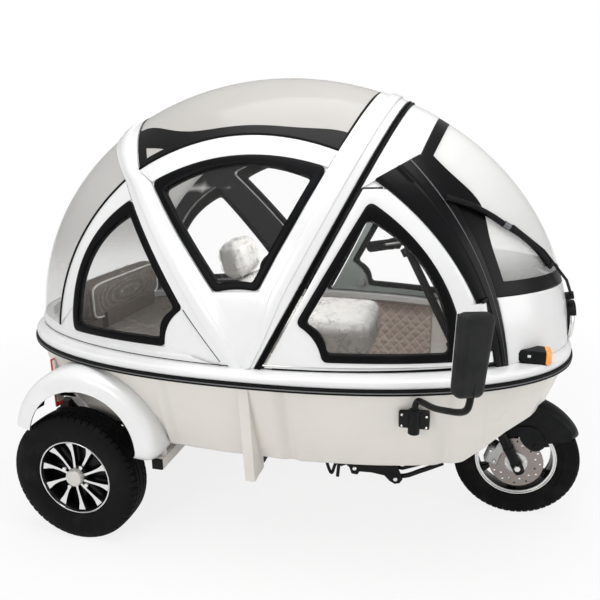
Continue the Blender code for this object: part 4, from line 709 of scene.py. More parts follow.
DOOR_FOOT_Z, DOOR_TOP_Z = 0.744, 1.290
DOOR_PLAY = 0.0165          # from the seam to the door's rear edge
PILLAR_REAR = ((0.352, 1.318), (0.757, 0.680), 0.080)
DOOR_GREY = (0.235, 0.262, 0.250)
DOOR_PROFILE = (            # share from the door's edge to the window, rise over the egg
    (0, -0.018), (0.0, 0.0000), (0.03, 0.0024), (0.08, 0.0036), (0.30, 0.0044), (0.55, 0.0044),
    (0.78, 0.0038), (0.90, 0.0024), (1.0, 0.0020), (1.0, -0.006))
DOOR_SEAL = ((0, -0.004), (0.001, 0.0004), (0.5, 0.0012), (0.999, 0.0004), (1, -0.004))
DOOR_STRIP = ((0, 0.0015), (0.1, 0.0049), (0.5, 0.0056), (0.9, 0.0049), (1, 0.0015))
LATCH_KNOB = (              # radius, distance inwards from the door's inner face
    (0.013, 0.0), (0.013, 0.012), (0.017, 0.014), (0.017, 0.024), (0.014, 0.027), (0.0001, 0.027))
LATCH_AT, PANEL_THICK = (0.190, 0.792), 0.026


def on_rays(line, hub, angle):
    """Where rays from hub at these angles cross a closed line."""
    off = line - hub
    turn = np.arctan2(off[:, 1], off[:, 0])
    order = np.argsort(turn)
    turn, off = turn[order], off[order]
    turn = np.concatenate([turn[-1:] - 2 * np.pi, turn, turn[:1] + 2 * np.pi])
    off = np.concatenate([off[-1:], off, off[:1]])
    k = np.clip(np.searchsorted(turn, angle) - 1, 0, len(turn) - 2)
    a, edge = off[k], off[k + 1] - off[k]
    way = np.stack([np.cos(angle), np.sin(angle)], -1)
    cross = edge[:, 0] * way[:, 1] - edge[:, 1] * way[:, 0]
    share = np.where(np.abs(cross) > 1e-12, (way[:, 0] * a[:, 1] - way[:, 1] * a[:, 0])
                     / np.where(cross == 0, 1, cross), 0.0)
    return hub + a + edge * np.clip(share, 0, 1)[:, None]


def between(start, end, count):
    """Points of a straight leg without its ends."""
    return start + (end - start) * np.linspace(0, 1, count)[1:-1, None]


def spun(name, profile, centre, steps, material, body="body", replaces=(), closed=False, out=1.0,
         way=None):
    """Profile of (radius, y) turned about the line along Y through centre, or along way; out
    mirrors it in y.  Its ends are closed by flat caps, or it closes on itself."""
    radius, y = columns(profile)
    turn = np.linspace(0, 2 * np.pi, steps, endpoint=False)[None, :]
    points = np.stack([radius * np.cos(turn), y * out + 0 * turn, radius * np.sin(turn)], -1)
    if way is not None:
        points = points @ np.array(Vector((0, 1, 0)).rotation_difference(Vector(way)).to_matrix()).T
    rows = len(profile)
    faces = grid_faces(rows, steps, closed, True).tolist() + ([] if closed else caps(rows, steps))
    return piece(name, points + np.array(centre), faces, material, body, replaces)


top_share = np.interp(-DOOR_TOP_Z, -bowed(*PILLAR_REAR, EDGE_STEPS)[:, 1], EDGE_STEPS)
rear_line = beside(from_height(*SEAM, DOOR_FOOT_Z), DOOR_PLAY)(np.linspace(0, 1, 600))
rear_line = rear_line[rear_line[:, 1] < DOOR_TOP_Z]
front_line = above_height(PILLAR_REAR, DOOR_FOOT_Z, top_share)(np.linspace(1, 0, 400))
door_edge = np.concatenate([rear_line, between(rear_line[-1], front_line[0], 40), front_line,
                            between(front_line[-1], rear_line[0], 200)])
window_edge = window_line(DOOR_WINDOW, per_leg=120)
door_hub = np.array((0.395, 0.985))
corner_turns = [math.atan2(*(corner - door_hub)[::-1]) for corner in
                (rear_line[0], rear_line[-1], front_line[0], front_line[-1])]
turns = np.sort(np.concatenate([np.linspace(-math.pi, math.pi, 260, endpoint=False), corner_turns]))
outer_line, inner_line = on_rays(door_edge, door_hub, turns), on_rays(window_edge, door_hub, turns)

paint = Paint("door_inside")
outside = egg_share(paint).above(0.972, 0.980)
DOOR_FINISH = paint.finish(
    Base_Color=paint.mix(outside, DOOR_GREY, WHITE),
    Roughness=paint.noise(12.0, 3) * 0.1 + outside * -0.30 + 0.50,
    Normal=paint.bump(paint.noise(300.0, 2) * (1 - outside), 0.0006))
paint = Paint("satin_steel")
STEEL = paint.finish(Base_Color=(0.60, 0.60, 0.59), Metallic=1.0,
                     Roughness=paint.noise(40.0, 3) * 0.15 + 0.24)

dress(DOOR_FINISH, "door_right", "door_left")
for name, side in SIDES:
    body = "door_" + name
    ring(body + "_skin", outer_line, inner_line, DOOR_PROFILE, side, GELCOAT, body)
    up_side("door_seal_" + name, polyline((0.748, 0.7345), (0.010, 0.7345)),
            polyline((0.744, 0.7412), (0.013, 0.7412)), DOOR_SEAL, side, RUBBER, "black_rubber")
    up_side("door_strip_" + name, polyline((0.738, 0.7455), (0.022, 0.7455)),
            polyline((0.734, 0.7505), (0.024, 0.7505)), DOOR_STRIP, side, STEEL, "grey_plastic", body)
    latch = on_egg(np.array([LATCH_AT]), side, np.array([-PANEL_THICK]))[0]
    spun("latch_knob_" + name, LATCH_KNOB, latch, 28, STEEL, body, out=-side)

PILLAR_PROFILE = (          # share from the rear to the front edge, rise over the egg
    (0, -0.006), (0.0, 0.0072), (0.03, 0.0090), (0.10, 0.0098), (0.40, 0.0092), (0.47, 0.0092),
    (0.50, 0.0126), (0.53, 0.0092), (0.60, 0.0090), (0.90, 0.0088), (0.985, 0.0080), (1, -0.004))
TRIM_PROFILE = ((0, 0.008), (0.1, 0.0100), (0.5, 0.0106), (0.9, 0.0100), (1, 0.008))
TRIM_SHARES = (0.755, 0.780)            # across the pillar: a real trim strip, its grey a painted highlight
paint = Paint("gloss_black")
BLACK = paint.finish(Base_Color=(0.0040, 0.0040, 0.0048), Roughness=paint.noise(9.0, 3) * 0.08 + 0.22,
                     Specular_IOR_Level=0.18, Normal=paint.bump(paint.noise(60.0, 2), 0.0002))
# Dark grey for the wiper's clip, and as painted highlight on the pillar's trim strip and the waist strip's
# bead.
paint = Paint("grey_trim_and_highlight")
GREY_TRIM_AND_HIGHLIGHT = paint.finish(Base_Color=(0.14, 0.145, 0.15), Roughness=paint.noise(30.0, 2) * 0.1 + 0.35)
dress(BLACK, "pillar_right", "pillar_left")
pillar_rear, pillar_front = above_height(PILLAR_REAR, SHELL_FOOT_Z), above_height(SCREEN_SIDE, SHELL_FOOT_Z)


def on_pillar(share):
    """Line up the pillar at this share from its rear to its front edge."""
    return lambda s: pillar_rear(s) * (1 - share) + pillar_front(s) * share


for name, side in SIDES:
    up_side("pillar_skin_" + name, pillar_rear, pillar_front, PILLAR_PROFILE, side, BLACK, "black_paint")
    # The trim strip is painted flat grey as the highlight along it.
    up_side("pillar_trim_" + name, *[on_pillar(share) for share in TRIM_SHARES], TRIM_PROFILE, side,
            GREY_TRIM_AND_HIGHLIGHT, "cast_alloy")

nose_share = float(np.interp(0.953, pillar_front(EDGE_STEPS)[:, 1], EDGE_STEPS))
thicken(dome("nose_skin", lambda p: pillar_front(p * nose_share), bend((1, 0), (1, 0)), GELCOAT,
             rows=30, out=0.0016), 0.0030)

# ------------------------------------------------------------------ waist and tub
# The shell's white flange lies on a black strip whose bead is painted grey as a highlight, round the top
# of the cream tub.  The tub's wall swells out in two places, with upright grooves and a joint pressed in, and
# shade is painted into the grooves.

WAIST_MIDDLE_X = -0.038
WAIST_HALF = (1.068, 0.628)
WAIST_POWER = 2.25
WAIST_STEPS = 320
FLANGE = (                  # distance out from the waist, height
    (-0.114, 0.7335), (-0.016, 0.7335), (-0.008, 0.7325), (-0.0025, 0.7300), (0.0, 0.7262),
    (0.0005, 0.7180), (0.0, 0.7095), (-0.0020, 0.7062), (-0.006, 0.7048), (-0.100, 0.7048))
STRIP = (
    (-0.028, 0.7046), (0.0035, 0.7046), (0.0062, 0.7030), (0.0066, 0.6990), (0.0052, 0.6975),
    (0.0052, 0.6925), (0.0066, 0.6910), (0.0062, 0.6875), (0.0035, 0.6860), (-0.028, 0.6860))
BEAD = ((0.0040, 0.6974), (0.0062, 0.6967), (0.0070, 0.6950), (0.0062, 0.6933), (0.0040, 0.6926))


def superellipse(a, b, power, count):
    """|x / a|^n + |y / b|^n = 1 at even angles, with its outward normal."""
    t = np.linspace(0, 2 * np.pi, count, endpoint=False)
    c, s = np.cos(t), np.sin(t)
    reach = (np.abs(c / a) ** power + np.abs(s / b) ** power) ** (-1 / power)
    x, y = reach * c, reach * s
    normal = np.stack([np.sign(x) * np.abs(x / a) ** (power - 1) / a,
                       np.sign(y) * np.abs(y / b) ** (power - 1) / b], -1)
    return np.stack([x + WAIST_MIDDLE_X, y], -1), normal / np.linalg.norm(normal, axis=1, keepdims=True)


def round_waist(name, profile, material, replaces=()):
    """Closed section of (outward distance, height) carried round the waist."""
    line, normal = superellipse(*WAIST_HALF, WAIST_POWER, WAIST_STEPS)
    out, high = columns(profile)
    flat = line + normal * out[..., None]
    points = np.concatenate([flat, high[..., None] + 0 * flat[..., :1]], -1)
    piece(name, points, grid_faces(len(profile), WAIST_STEPS, True, True), material, "body",
          replaces, sharp=50)


round_waist("flange_skin", FLANGE, GELCOAT, ("waist_flange",))
round_waist("strip_rubber", STRIP, RUBBER, ("waist_strip",))
# The bead's grey is a painted highlight along the black strip.
round_waist("strip_bead_highlight", BEAD, GREY_TRIM_AND_HIGHLIGHT)

GROOVE_SHADE = ((0.060, 0.118), (0.556, 0.612), (-0.340, -0.290))     # x where shade is painted into the grooves
paint = Paint("cream_gelcoat")
# Darker in noisy patches towards the tub's foot.
dust = (1 - paint.place(2).above(0.36, 0.52)) * paint.noise(11.0, 4).above(0.35, 0.75)
# Painted shade: a darker band over each groove.
for low, high in GROOVE_SHADE:
    past_front = paint.place(0).above(high - 0.016, high)
    dust = dust + paint.place(0).above(low, low + 0.028) * (1 - past_front) * 1.1
cream = paint.mix(paint.noise(2.4, 4).above(0.3, 0.8), (0.770, 0.732, 0.682), (0.715, 0.678, 0.630))
CREAM = paint.finish(Base_Color=paint.mix(dust * 0.12, cream, (0.42, 0.40, 0.37)),
                     Roughness=paint.noise(13.0, 3) * 0.12 + 0.24, Coat_Weight=0.3, Coat_Roughness=0.10,
                     Normal=paint.bump(paint.noise(7.0, 2) + paint.noise(150.0, 2) * 0.1, 0.0012))
dress(CREAM, "tub", "side_post_right", "side_post_left", "bench_base")

TUB_SECTIONS = np.array((
    # height, half length, half width, exponent
    (0.385, 0.900, 0.496, 2.6),
    (0.400, 0.925, 0.512, 2.6),
    (0.520, 0.990, 0.560, 2.5),
    (0.630, 1.035, 0.594, 2.35),
    (0.6856, 1.052, 0.612, 2.25)))
FLUTES = (
    # x, half width, depth: grooves pressed in, and swells where the depth is negative
    (-0.300, 0.030, 0.0030), (-0.120, 0.050, -0.0030), (0.115, 0.080, -0.0070), (0.108, 0.020, 0.0115),
    (0.612, 0.075, -0.0070), (0.604, 0.020, 0.0115), (0.720, 0.004, 0.0034), (0.800, 0.060, -0.0050))
TUB_SKIN = 0.0066           # from the wall to the skin that shows
TUB_TOP_Z = 0.6852
TUB_EDGE = (                # x, z of the skin's lower edge, from the wheel house to the nose
    (-0.344, 0.392), (0.625, 0.392), (0.655, 0.390), (0.728, 0.445), (0.796, 0.505), (0.850, 0.533),
    (0.870, 0.5365))


def tub_wall(x, z, side):
    """Point of the wall at x and z: superellipse sections blended by height, pressed in by
    depth * exp(-((x - place) / half width)^2) at each flute."""
    a, b, power = (np.interp(z, TUB_SECTIONS[:, 0], TUB_SECTIONS[:, k]) for k in (1, 2, 3))
    u = np.clip(np.abs((x - WAIST_MIDDLE_X) / a), 0, 0.9999)
    y = b * (1 - u ** power) ** (1 / power)
    for place, half, depth in FLUTES:
        y = y - depth * np.exp(-((x - place) / half) ** 2)
    return np.stack([x, side * (y + TUB_SKIN), z], -1)


x = np.concatenate([np.linspace(-0.344, -0.040, 40), np.linspace(-0.0385, 0.868, 150)])
foot = np.interp(x, *np.transpose(TUB_EDGE))
z = foot + (TUB_TOP_Z - foot) * np.linspace(0, 1, 34)[:, None]
for name, side in SIDES:
    wall = tub_wall(x + 0 * z, z, side)
    piece("tub_side_" + name, wall, grid_faces(*wall.shape[:2]), CREAM, middle=(0.2, 0, 0.5))

# ------------------------------------------------------------------ tyres
# Black tyres with rows of tread blocks, two wavy grooves and cross slots in the shoulders, and a
# rim protector ring on each side wall.

REAR_CENTRES = {"right": (-0.705, -0.536, 0.250), "left": (-0.705, 0.536, 0.250)}
FRONT_CENTRE = (0.878, 0.0, 0.234)
TYRES = (
    # name, centre, radius, width, bead radius, tread blocks, body
    ("rear_tyre_right", REAR_CENTRES["right"], 0.250, 0.112, 0.146, 56, "rear_wheel_right"),
    ("rear_tyre_left", REAR_CENTRES["left"], 0.250, 0.112, 0.146, 56, "rear_wheel_left"),
    ("front_tyre", FRONT_CENTRE, 0.234, 0.096, 0.152, 60, "front_wheel"))
GROOVE_PLACES, GROOVE_HALF, GROOVE_WAVE, GROOVE_DEEP = (0.22, 0.56), 0.040, 0.045, 0.0050
SLOT_HALF, SHOULDER_AT = 0.10, 0.60

paint = Paint("tyre_rubber")
dust = paint.noise(16.0, 4).above(0.45, 0.80)
TYRE = paint.finish(Base_Color=paint.mix(dust, (0.0045, 0.0045, 0.0048), (0.0150, 0.0145, 0.0140)),
                    Roughness=dust * 0.15 + 0.52, Specular_IOR_Level=0.08,
                    Normal=paint.bump(paint.noise(260.0, 3) + paint.noise(900.0, 2) * 0.4, 0.0004))


def block_tyre(name, centre, radius, width, bead, lugs, body):
    """Tyre section r(u) with rounded shoulders, u across from -1 to 1; it sinks by the grooves'
    depth where |u + wave| is near a groove's place, and in slots across the shoulders."""
    u = np.linspace(-0.955, 0.955, 66)[:, None]
    turn = np.linspace(0, 2 * np.pi, lugs * 8, endpoint=False)[None, :]
    off = np.abs(u + GROOVE_WAVE * np.sin(turn * lugs))
    groove = sum(np.exp(-((off - place) / GROOVE_HALF) ** 4) for place in GROOVE_PLACES)
    phase = (turn * lugs / (2 * np.pi) + 0.25 * np.sign(u)) % 1.0
    slot = (np.abs(phase - 0.5) < SLOT_HALF) * (np.abs(u) > SHOULDER_AT)
    crown = radius - 0.004 * u ** 2 - 0.016 * np.maximum(0, (np.abs(u) - 0.70) / 0.30) ** 2
    tread = crown - GROOVE_DEEP * np.clip(groove + slot, 0, 1)
    wall_r, wall_u = columns((          # radius, share of the half width: from the bead outwards
        (bead + 0.0006, 0.70), (bead + 0.0012, 0.80), (bead + 0.006, 0.86), (bead + 0.010, 0.895),
        (bead + 0.014, 0.90), (bead + 0.020, 0.94), (radius - 0.060, 0.985), (radius - 0.045, 1.0),
        (radius - 0.033, 1.0), (radius - 0.030, 0.990), (radius - 0.024, 0.985), (radius - 0.021, 0.965)))
    r = np.concatenate([wall_r + 0 * turn, tread, wall_r[::-1] + 0 * turn])
    y = np.concatenate([-wall_u, u, wall_u[::-1]]) * width / 2 + 0 * turn
    points = np.stack([r * np.cos(turn), y, r * np.sin(turn)], -1) + np.array(centre)
    piece(name + "_rubber", points, grid_faces(*r.shape, True, True), TYRE, body, (name,),
          sharp=40)


for row in TYRES:
    block_tyre(*row)

# ------------------------------------------------------------------ rear wheels
# Cast wheels in gloss black with ten machined spokes that swirl a little, a bright lip ring, a
# pale hub cap and four nuts.

SPOKES = 10
SWIRL = 0.10                # turn of a spoke from hub to lip, radians
SPOKE_ROOT, SPOKE_DEEP = 0.034, 0.016
SPOKE_LINE = (
    # radius, half width, height of the face over the wheel's middle plane
    (0.034, 0.0060, 0.0330), (0.050, 0.0050, 0.0325), (0.074, 0.0052, 0.0300), (0.098, 0.0068, 0.0290),
    (0.114, 0.0095, 0.0305), (0.126, 0.0135, 0.0330), (0.1345, 0.0150, 0.0350))
SPOKE_SECTION = ((-1.25, 1.0), (-1.0, 0.10), (-0.86, 0.0), (0.86, 0.0), (1.0, 0.10), (1.25, 1.0))
SPOKE_FACE = 2              # which side of the section is machined
NUTS, NUT_RING, FIRST_NUT = 4, 0.051, np.pi / 4 + 0.2
# Profiles list (radius, y), y outwards from the wheel's middle plane.
BARREL = (
    (0.1454, -0.040), (0.1454, 0.0400), (0.1440, 0.0425), (0.1405, 0.0425), (0.1385, 0.0400),
    (0.1340, 0.0300), (0.1330, -0.0100), (0.1340, -0.0390))
LIP = ((0.1452, 0.0412), (0.1448, 0.0440), (0.1428, 0.0448), (0.1402, 0.0436), (0.1400, 0.0420))
WEB = (
    (0.0160, -0.0290), (0.0400, -0.0290), (0.0430, -0.0060), (0.1335, -0.0100), (0.1335, -0.0060),
    (0.0460, 0.0040), (0.0440, 0.0240), (0.0380, 0.0285), (0.0160, 0.0285))
HUB_CAP = ((0.0320, 0.0280), (0.0320, 0.0470), (0.0300, 0.0500), (0.0260, 0.0515), (0.0001, 0.0520))
WHEEL_NUT = ((0.0090, 0.0250), (0.0090, 0.0370), (0.0075, 0.0395), (0.0001, 0.0400))

paint = Paint("machined_alloy")
MACHINED = paint.finish(Base_Color=(0.80, 0.80, 0.79), Metallic=1.0,
                        Roughness=paint.noise(220.0, 3) * 0.10 + 0.20)
paint = Paint("pale_cap")
CAP = paint.finish(Base_Color=(0.66, 0.64, 0.60), Metallic=0.35, Roughness=paint.noise(60.0, 3) * 0.2 + 0.30)


def round_hub(count, radius, start, y=0.0):
    """Spots at even angles on a circle about a wheel's axle, the first at start."""
    turn = start + 2 * np.pi * np.arange(count) / count
    return np.stack([radius * np.cos(turn), y + 0 * turn, radius * np.sin(turn)], -1)


def star(name, arms, middle, body):
    """Equal tubes of rows by cols points about a wheel's middle, as one body.  Also returns how
    many faces one tube has."""
    rows, cols = arms[0].shape[:2]
    tube = grid_faces(rows, cols, False, True).tolist() + caps(rows, cols)
    faces = [[k + i * rows * cols for k in face] for i in range(len(arms)) for face in tube]
    points = np.concatenate(arms) + middle
    return piece(name, points, faces, BLACK, body), len(tube)


def spoke(start, out):
    """Section (across, depth) carried out along the spoke's line, which turns by SWIRL over 0.1."""
    radius, half, face = columns(SPOKE_LINE)
    across, deep = np.transpose(SPOKE_SECTION)
    turn = start + SWIRL * (radius - SPOKE_ROOT) / 0.1
    side = half * across
    return np.stack([radius * np.cos(turn) - side * np.sin(turn), out * (face - SPOKE_DEEP * deep),
                     radius * np.sin(turn) + side * np.cos(turn)], -1)


for name, out in SIDES:
    body, middle = "rear_wheel_" + name, np.array(REAR_CENTRES[name])
    spun("rear_barrel_" + name, BARREL, middle, 128, BLACK, body, ("rear_rim_" + name,),
         closed=True, out=out)
    spun("rear_lip_" + name, LIP, middle, 128, MACHINED, body, closed=True, out=out)
    spun("rear_web_" + name, WEB, middle, 96, BLACK, body, closed=True, out=out)
    arms, sides = star("rear_spokes_" + name, [spoke(2 * np.pi * (i + 0.5) / SPOKES, out)
                                               for i in range(SPOKES)], middle, body)
    bright = np.arange(sides) % len(SPOKE_SECTION) == SPOKE_FACE
    bright[-2:] = False                 # the two end faces
    arms.data.materials.append(MACHINED)
    arms.data.polygons.foreach_set("material_index", np.tile(bright, SPOKES).astype(np.int32))
    spun("rear_cap_" + name, HUB_CAP, middle, 64, CAP, body, out=out)
    for i, at in enumerate(round_hub(NUTS, NUT_RING, FIRST_NUT)):
        spun(f"rear_nut_{name}_{i}", WHEEL_NUT, middle + at, 6, MACHINED, body, out=out)

# ------------------------------------------------------------------ front wheel and brake disc
# A dark cast wheel with six plain spokes and two bright lips.  A drilled steel disc is bolted to
# its right side by a carrier.

FRONT_BARREL = (
    (0.1512, -0.0330), (0.1512, 0.0330), (0.1400, 0.0335), (0.1385, 0.0290), (0.1360, 0.0),
    (0.1385, -0.0290), (0.1400, -0.0335))
FRONT_LIP = (
    (0.1516, 0.0300), (0.1512, 0.0372), (0.1490, 0.0385), (0.1460, 0.0378), (0.1440, 0.0345),
    (0.1425, 0.0345), (0.1400, 0.0358), (0.1375, 0.0350), (0.1366, 0.0320))
FRONT_HUB = (
    (0.0092, -0.0295), (0.0330, -0.0295), (0.0360, -0.0180), (0.0340, 0.0), (0.0360, 0.0180),
    (0.0330, 0.0295), (0.0092, 0.0295))
FRONT_SPOKES = 6
FRONT_SPOKE_LINE = (        # radius, half width, half depth
    (0.030, 0.014, 0.020), (0.060, 0.010, 0.014), (0.110, 0.010, 0.013), (0.139, 0.017, 0.016))
BAR_SECTION = ((-1, -0.7), (-0.7, -1), (0.7, -1), (1, -0.7), (1, 0.7), (0.7, 1), (-0.7, 1), (-1, 0.7))
DISC_MIDDLE = np.array((0.878, -0.060, 0.234))
DISC_CARRIER = ((0.0420, -0.0022), (0.0420, -0.0040), (0.0360, -0.0054), (0.0240, -0.0054), (0.0240, -0.0022))
DISC_BOLTS, DISC_BOLT_RING, FIRST_DISC_BOLT, DISC_BOLT_Y = 6, 0.034, 0.3, -0.0054
DISC_BOLT = ((0.0055, 0.0005), (0.0055, -0.0010), (0.0044, -0.0018), (0.0001, -0.0018))

paint = Paint("disc_steel")
worn = paint.noise(90.0, 4, 0.7)
DISC = paint.finish(Base_Color=paint.mix(worn, (0.27, 0.235, 0.22), (0.36, 0.32, 0.30)), Metallic=1.0,
                    Roughness=worn * 0.15 + 0.30)


def front_spoke(start):
    """Eight-sided bar of this half width and depth, straight out from the hub."""
    radius, half, deep = columns(FRONT_SPOKE_LINE)
    across, y = np.transpose(BAR_SECTION)
    side = half * across
    return np.stack([radius * np.cos(start) - side * np.sin(start), deep * y,
                     radius * np.sin(start) + side * np.cos(start)], -1)


spun("front_barrel", FRONT_BARREL, FRONT_CENTRE, 128, BLACK, "front_wheel", ("front_rim",),
     closed=True)
for name, out in SIDES:
    spun("front_lip_" + name, FRONT_LIP, FRONT_CENTRE, 128, MACHINED, "front_wheel",
         closed=True, out=out)
star("front_spokes", [front_spoke(2 * np.pi * (i + 0.5) / FRONT_SPOKES) for i in range(FRONT_SPOKES)],
     FRONT_CENTRE, "front_wheel")
spun("front_hub", FRONT_HUB, FRONT_CENTRE, 64, BLACK, "front_wheel", closed=True)
dress(DISC, "brake_disc")
spun("disc_carrier", DISC_CARRIER, DISC_MIDDLE, 64, STEEL, "front_wheel", closed=True)
for i, at in enumerate(round_hub(DISC_BOLTS, DISC_BOLT_RING, FIRST_DISC_BOLT, DISC_BOLT_Y)):
    spun(f"disc_bolt_{i}", DISC_BOLT, DISC_MIDDLE + at, 12, MACHINED, "front_wheel")

# ------------------------------------------------------------------ rear fenders and running gear
# Rolled white rear fenders with a dark underside and a closed front tip, satin black axle,
# springs and frame, and cross-tube ends in the tub's cream with black caps.


def slab(name, centre, half, corner, material, turn=None, replaces=(), foot=1.0, segments=4,
         body="body"):
    """Box of these half sizes with rounded edges, narrower in x by foot at its foot, turned by
    a matrix and set on centre."""
    bm = bmesh.new()
    bmesh.ops.create_cube(bm, size=2.0)
    bmesh.ops.scale(bm, vec=half, verts=bm.verts)
    bmesh.ops.bevel(bm, geom=bm.edges[:], offset=corner, segments=segments, profile=0.5, affect="EDGES")
    points = np.array([v.co[:] for v in bm.verts])
    faces = [[v.index for v in f.verts] for f in bm.faces]
    bm.free()
    points[:, 0] *= 1 - (1 - foot) * (half[2] - points[:, 2]) / (2 * half[2])
    if turn is not None:
        points = points @ np.array(turn).T
    return piece(name, points + np.array(centre), faces, material, body, replaces)


paint = Paint("satin_black")
dust = paint.noise(7.0, 4).above(0.45, 0.80)
SATIN = paint.finish(Base_Color=paint.mix(dust, (0.0040, 0.0040, 0.0045), (0.0100, 0.0100, 0.0105)),
                     Roughness=dust * 0.2 + 0.36, Specular_IOR_Level=0.16)
paint = Paint("black_plastic")
PLASTIC = paint.finish(Base_Color=paint.mix(paint.noise(30.0, 3).above(0.3, 0.7), (0.0045, 0.0048, 0.0055),
                                            (0.0085, 0.0090, 0.0100)),
                       Roughness=paint.noise(12.0, 3) * 0.12 + 0.40, Specular_IOR_Level=0.14,
                       Normal=paint.bump(paint.noise(700.0, 2), 0.0004))
dress(SATIN, "steering_fork", "steering_head", "rear_axle", "chassis_frame", "leaf_spring_right",
      "leaf_spring_left")
dress(PLASTIC, "battery_block")

ARCH_X, ARCH_Z, ARCH_R = -0.635, 0.400, 0.284
FENDER_OUT_Y = 0.614
FENDER_WALL = 0.0050
FENDER_SKIN = (             # short of the outer face, rise over the arch: outer skin
    (0.1734, 0.0), (0.110, 0.0010), (0.075, 0.0015), (0.055, 0.0005), (0.040, -0.0015), (0.028, -0.0045),
    (0.0185, -0.0090), (0.0105, -0.0150), (0.0045, -0.0230), (0.0010, -0.0330), (-0.0006, -0.0450),
    (-0.0018, -0.0600), (-0.0020, -0.0720), (-0.0004, -0.0742))


def end_strips(rows, cols):
    """Quads that close both ends of a folded sheet, whose two layers make one ring of cols."""
    pairs = [(i, i + 1, cols - 2 - i, cols - 1 - i) for i in range(cols // 2 - 1)]
    return [quad[::-1] for quad in pairs] + [[(rows - 1) * cols + k for k in quad] for quad in pairs]


skin = np.array(FENDER_SKIN)
way = np.gradient(skin, axis=0)
way /= np.linalg.norm(way, axis=1, keepdims=True)
lining = skin + np.stack([-way[:, 1], way[:, 0]], -1) * FENDER_WALL
lining[0] = (skin[0, 0], -FENDER_WALL)
lining[-1] = (FENDER_WALL - 0.001, -0.0745)
section = np.concatenate([skin, lining[::-1]])
turns = np.radians(np.linspace(168, -8, 89))[:, None]
tip = np.clip((0.060 - turns) / 0.200, 0, 1)            # the front end, which closes inwards
shy = section[:, 0] + 0.022 * tip ** 2 * (section[:, 0] < 0.1)
far = ARCH_R + section[:, 1] - 0.020 * tip ** 2
for name, out in SIDES:
    points = np.stack([ARCH_X + far * np.cos(turns), out * (FENDER_OUT_Y - shy),
                       ARCH_Z + far * np.sin(turns)], -1)
    rows, cols = points.shape[:2]
    faces = grid_faces(rows, cols, False, True).tolist()
    under = np.arange(len(faces)) % cols >= len(FENDER_SKIN) - 1
    ends = end_strips(rows, cols)
    fender = piece("fender_skin_" + name, points, faces + ends, GELCOAT, "body",
                   ("rear_fender_" + name,))
    fender.data.materials.append(SATIN)
    fender.data.polygons.foreach_set("material_index", np.append(under, [False] * len(ends)).astype(np.int32))

TUBE_X, TUBE_Z = -0.378, 0.3344
for name, out in SIDES:
    slab("cross_tube_" + name, (TUBE_X, out * 0.437, TUBE_Z), (0.0207, 0.112, 0.0207), 0.003, CREAM)
    slab("cross_cap_" + name, (TUBE_X, out * 0.5515, TUBE_Z), (0.0200, 0.0040, 0.0200), 0.0025, PLASTIC)
    slab("cross_stay_" + name, (TUBE_X + 0.006, out * 0.520, 0.390), (0.014, 0.007, 0.036), 0.002, CREAM)

# ------------------------------------------------------------------ front mudguard and fork fittings
# The guard is a deep crowned moulding with a flap and a lobe bolted on each side of the fork.
# Rubber seals and bands ring the fork's legs, and the cast caliper hangs behind the right one.

AXLE = np.array(FRONT_CENTRE)
FORK_UP = np.array((-0.45399, 0.0, 0.89101))
GUARD_R, GUARD_HALF, GUARD_CROWN, GUARD_WALL = 0.2525, 0.058, 0.035, 0.004
FLAP = (                    # ahead of and over the front axle
    (-0.150, 0.205), (-0.128, 0.128), (-0.075, 0.096), (-0.030, 0.098), (0.010, 0.116), (0.052, 0.102),
    (0.090, 0.090), (0.135, 0.098), (0.178, 0.108), (0.188, 0.124), (0.150, 0.176), (0.090, 0.222),
    (0.020, 0.239), (-0.070, 0.229))
LOBE = ((-0.012, 0.152), (0.012, 0.092), (0.052, 0.059), (0.086, 0.068), (0.098, 0.100), (0.060, 0.152))
FLAP_SIDES, LOBE_SIDES = (0.0600, 0.0645), (0.0674, 0.0706)
LEG_OUT, LEG_FOOT = 0.088, -0.020       # the leg's distance from the middle, its foot along the fork
LEG_RINGS = (               # name, distance up the leg, radius, half height
    ("seal", 0.196, 0.0212, 0.010), ("lug", 0.016, 0.0215, 0.016), ("band", 0.098, 0.0204, 0.006))
RING_BEVEL = 0.002
# Profiles of bolts list (radius, y), y outwards from the wheel's middle plane.
FLAP_BOLT = ((0.0072, 0.0600), (0.0072, 0.0668), (0.0058, 0.0686), (0.0001, 0.0688))
FORK_BOLTS = (
    # name, ahead of the axle, over it, sides, finish, slot, profile
    ("lobe_bolt_%s", 0.062, 0.084, 6, SATIN, "black_paint",
     ((0.0070, 0.0640), (0.0070, 0.0724), (0.0056, 0.0738), (0.0001, 0.0740))),
    ("flap_bolt_%s_0", -0.012, 0.172, 6, SATIN, "black_paint", FLAP_BOLT),
    ("flap_bolt_%s_1", 0.004, 0.128, 6, SATIN, "black_paint", FLAP_BOLT),
    ("flap_boss_%s", -0.068, 0.150, 24, SATIN, "black_paint", ((0.0120, 0.0640), (0.0120, 0.0688))),
    ("axle_nut_%s", 0, 0, 6, MACHINED, "cast_alloy",
     ((0.0130, 0.106), (0.0130, 0.114), (0.0110, 0.1165), (0.0001, 0.1168))))
CALIPER_BOLT = ((0.0068, 0.080), (0.0068, 0.092), (0.0050, 0.094), (0.0001, 0.0942))
HOSE_R = 0.0035
HOSE_LINE = (               # from the axle: ahead, to the left, up
    (-0.100, -0.074, 0.062), (-0.128, -0.078, 0.098), (-0.140, -0.090, 0.150), (-0.150, -0.092, 0.210),
    (-0.166, -0.080, 0.262))


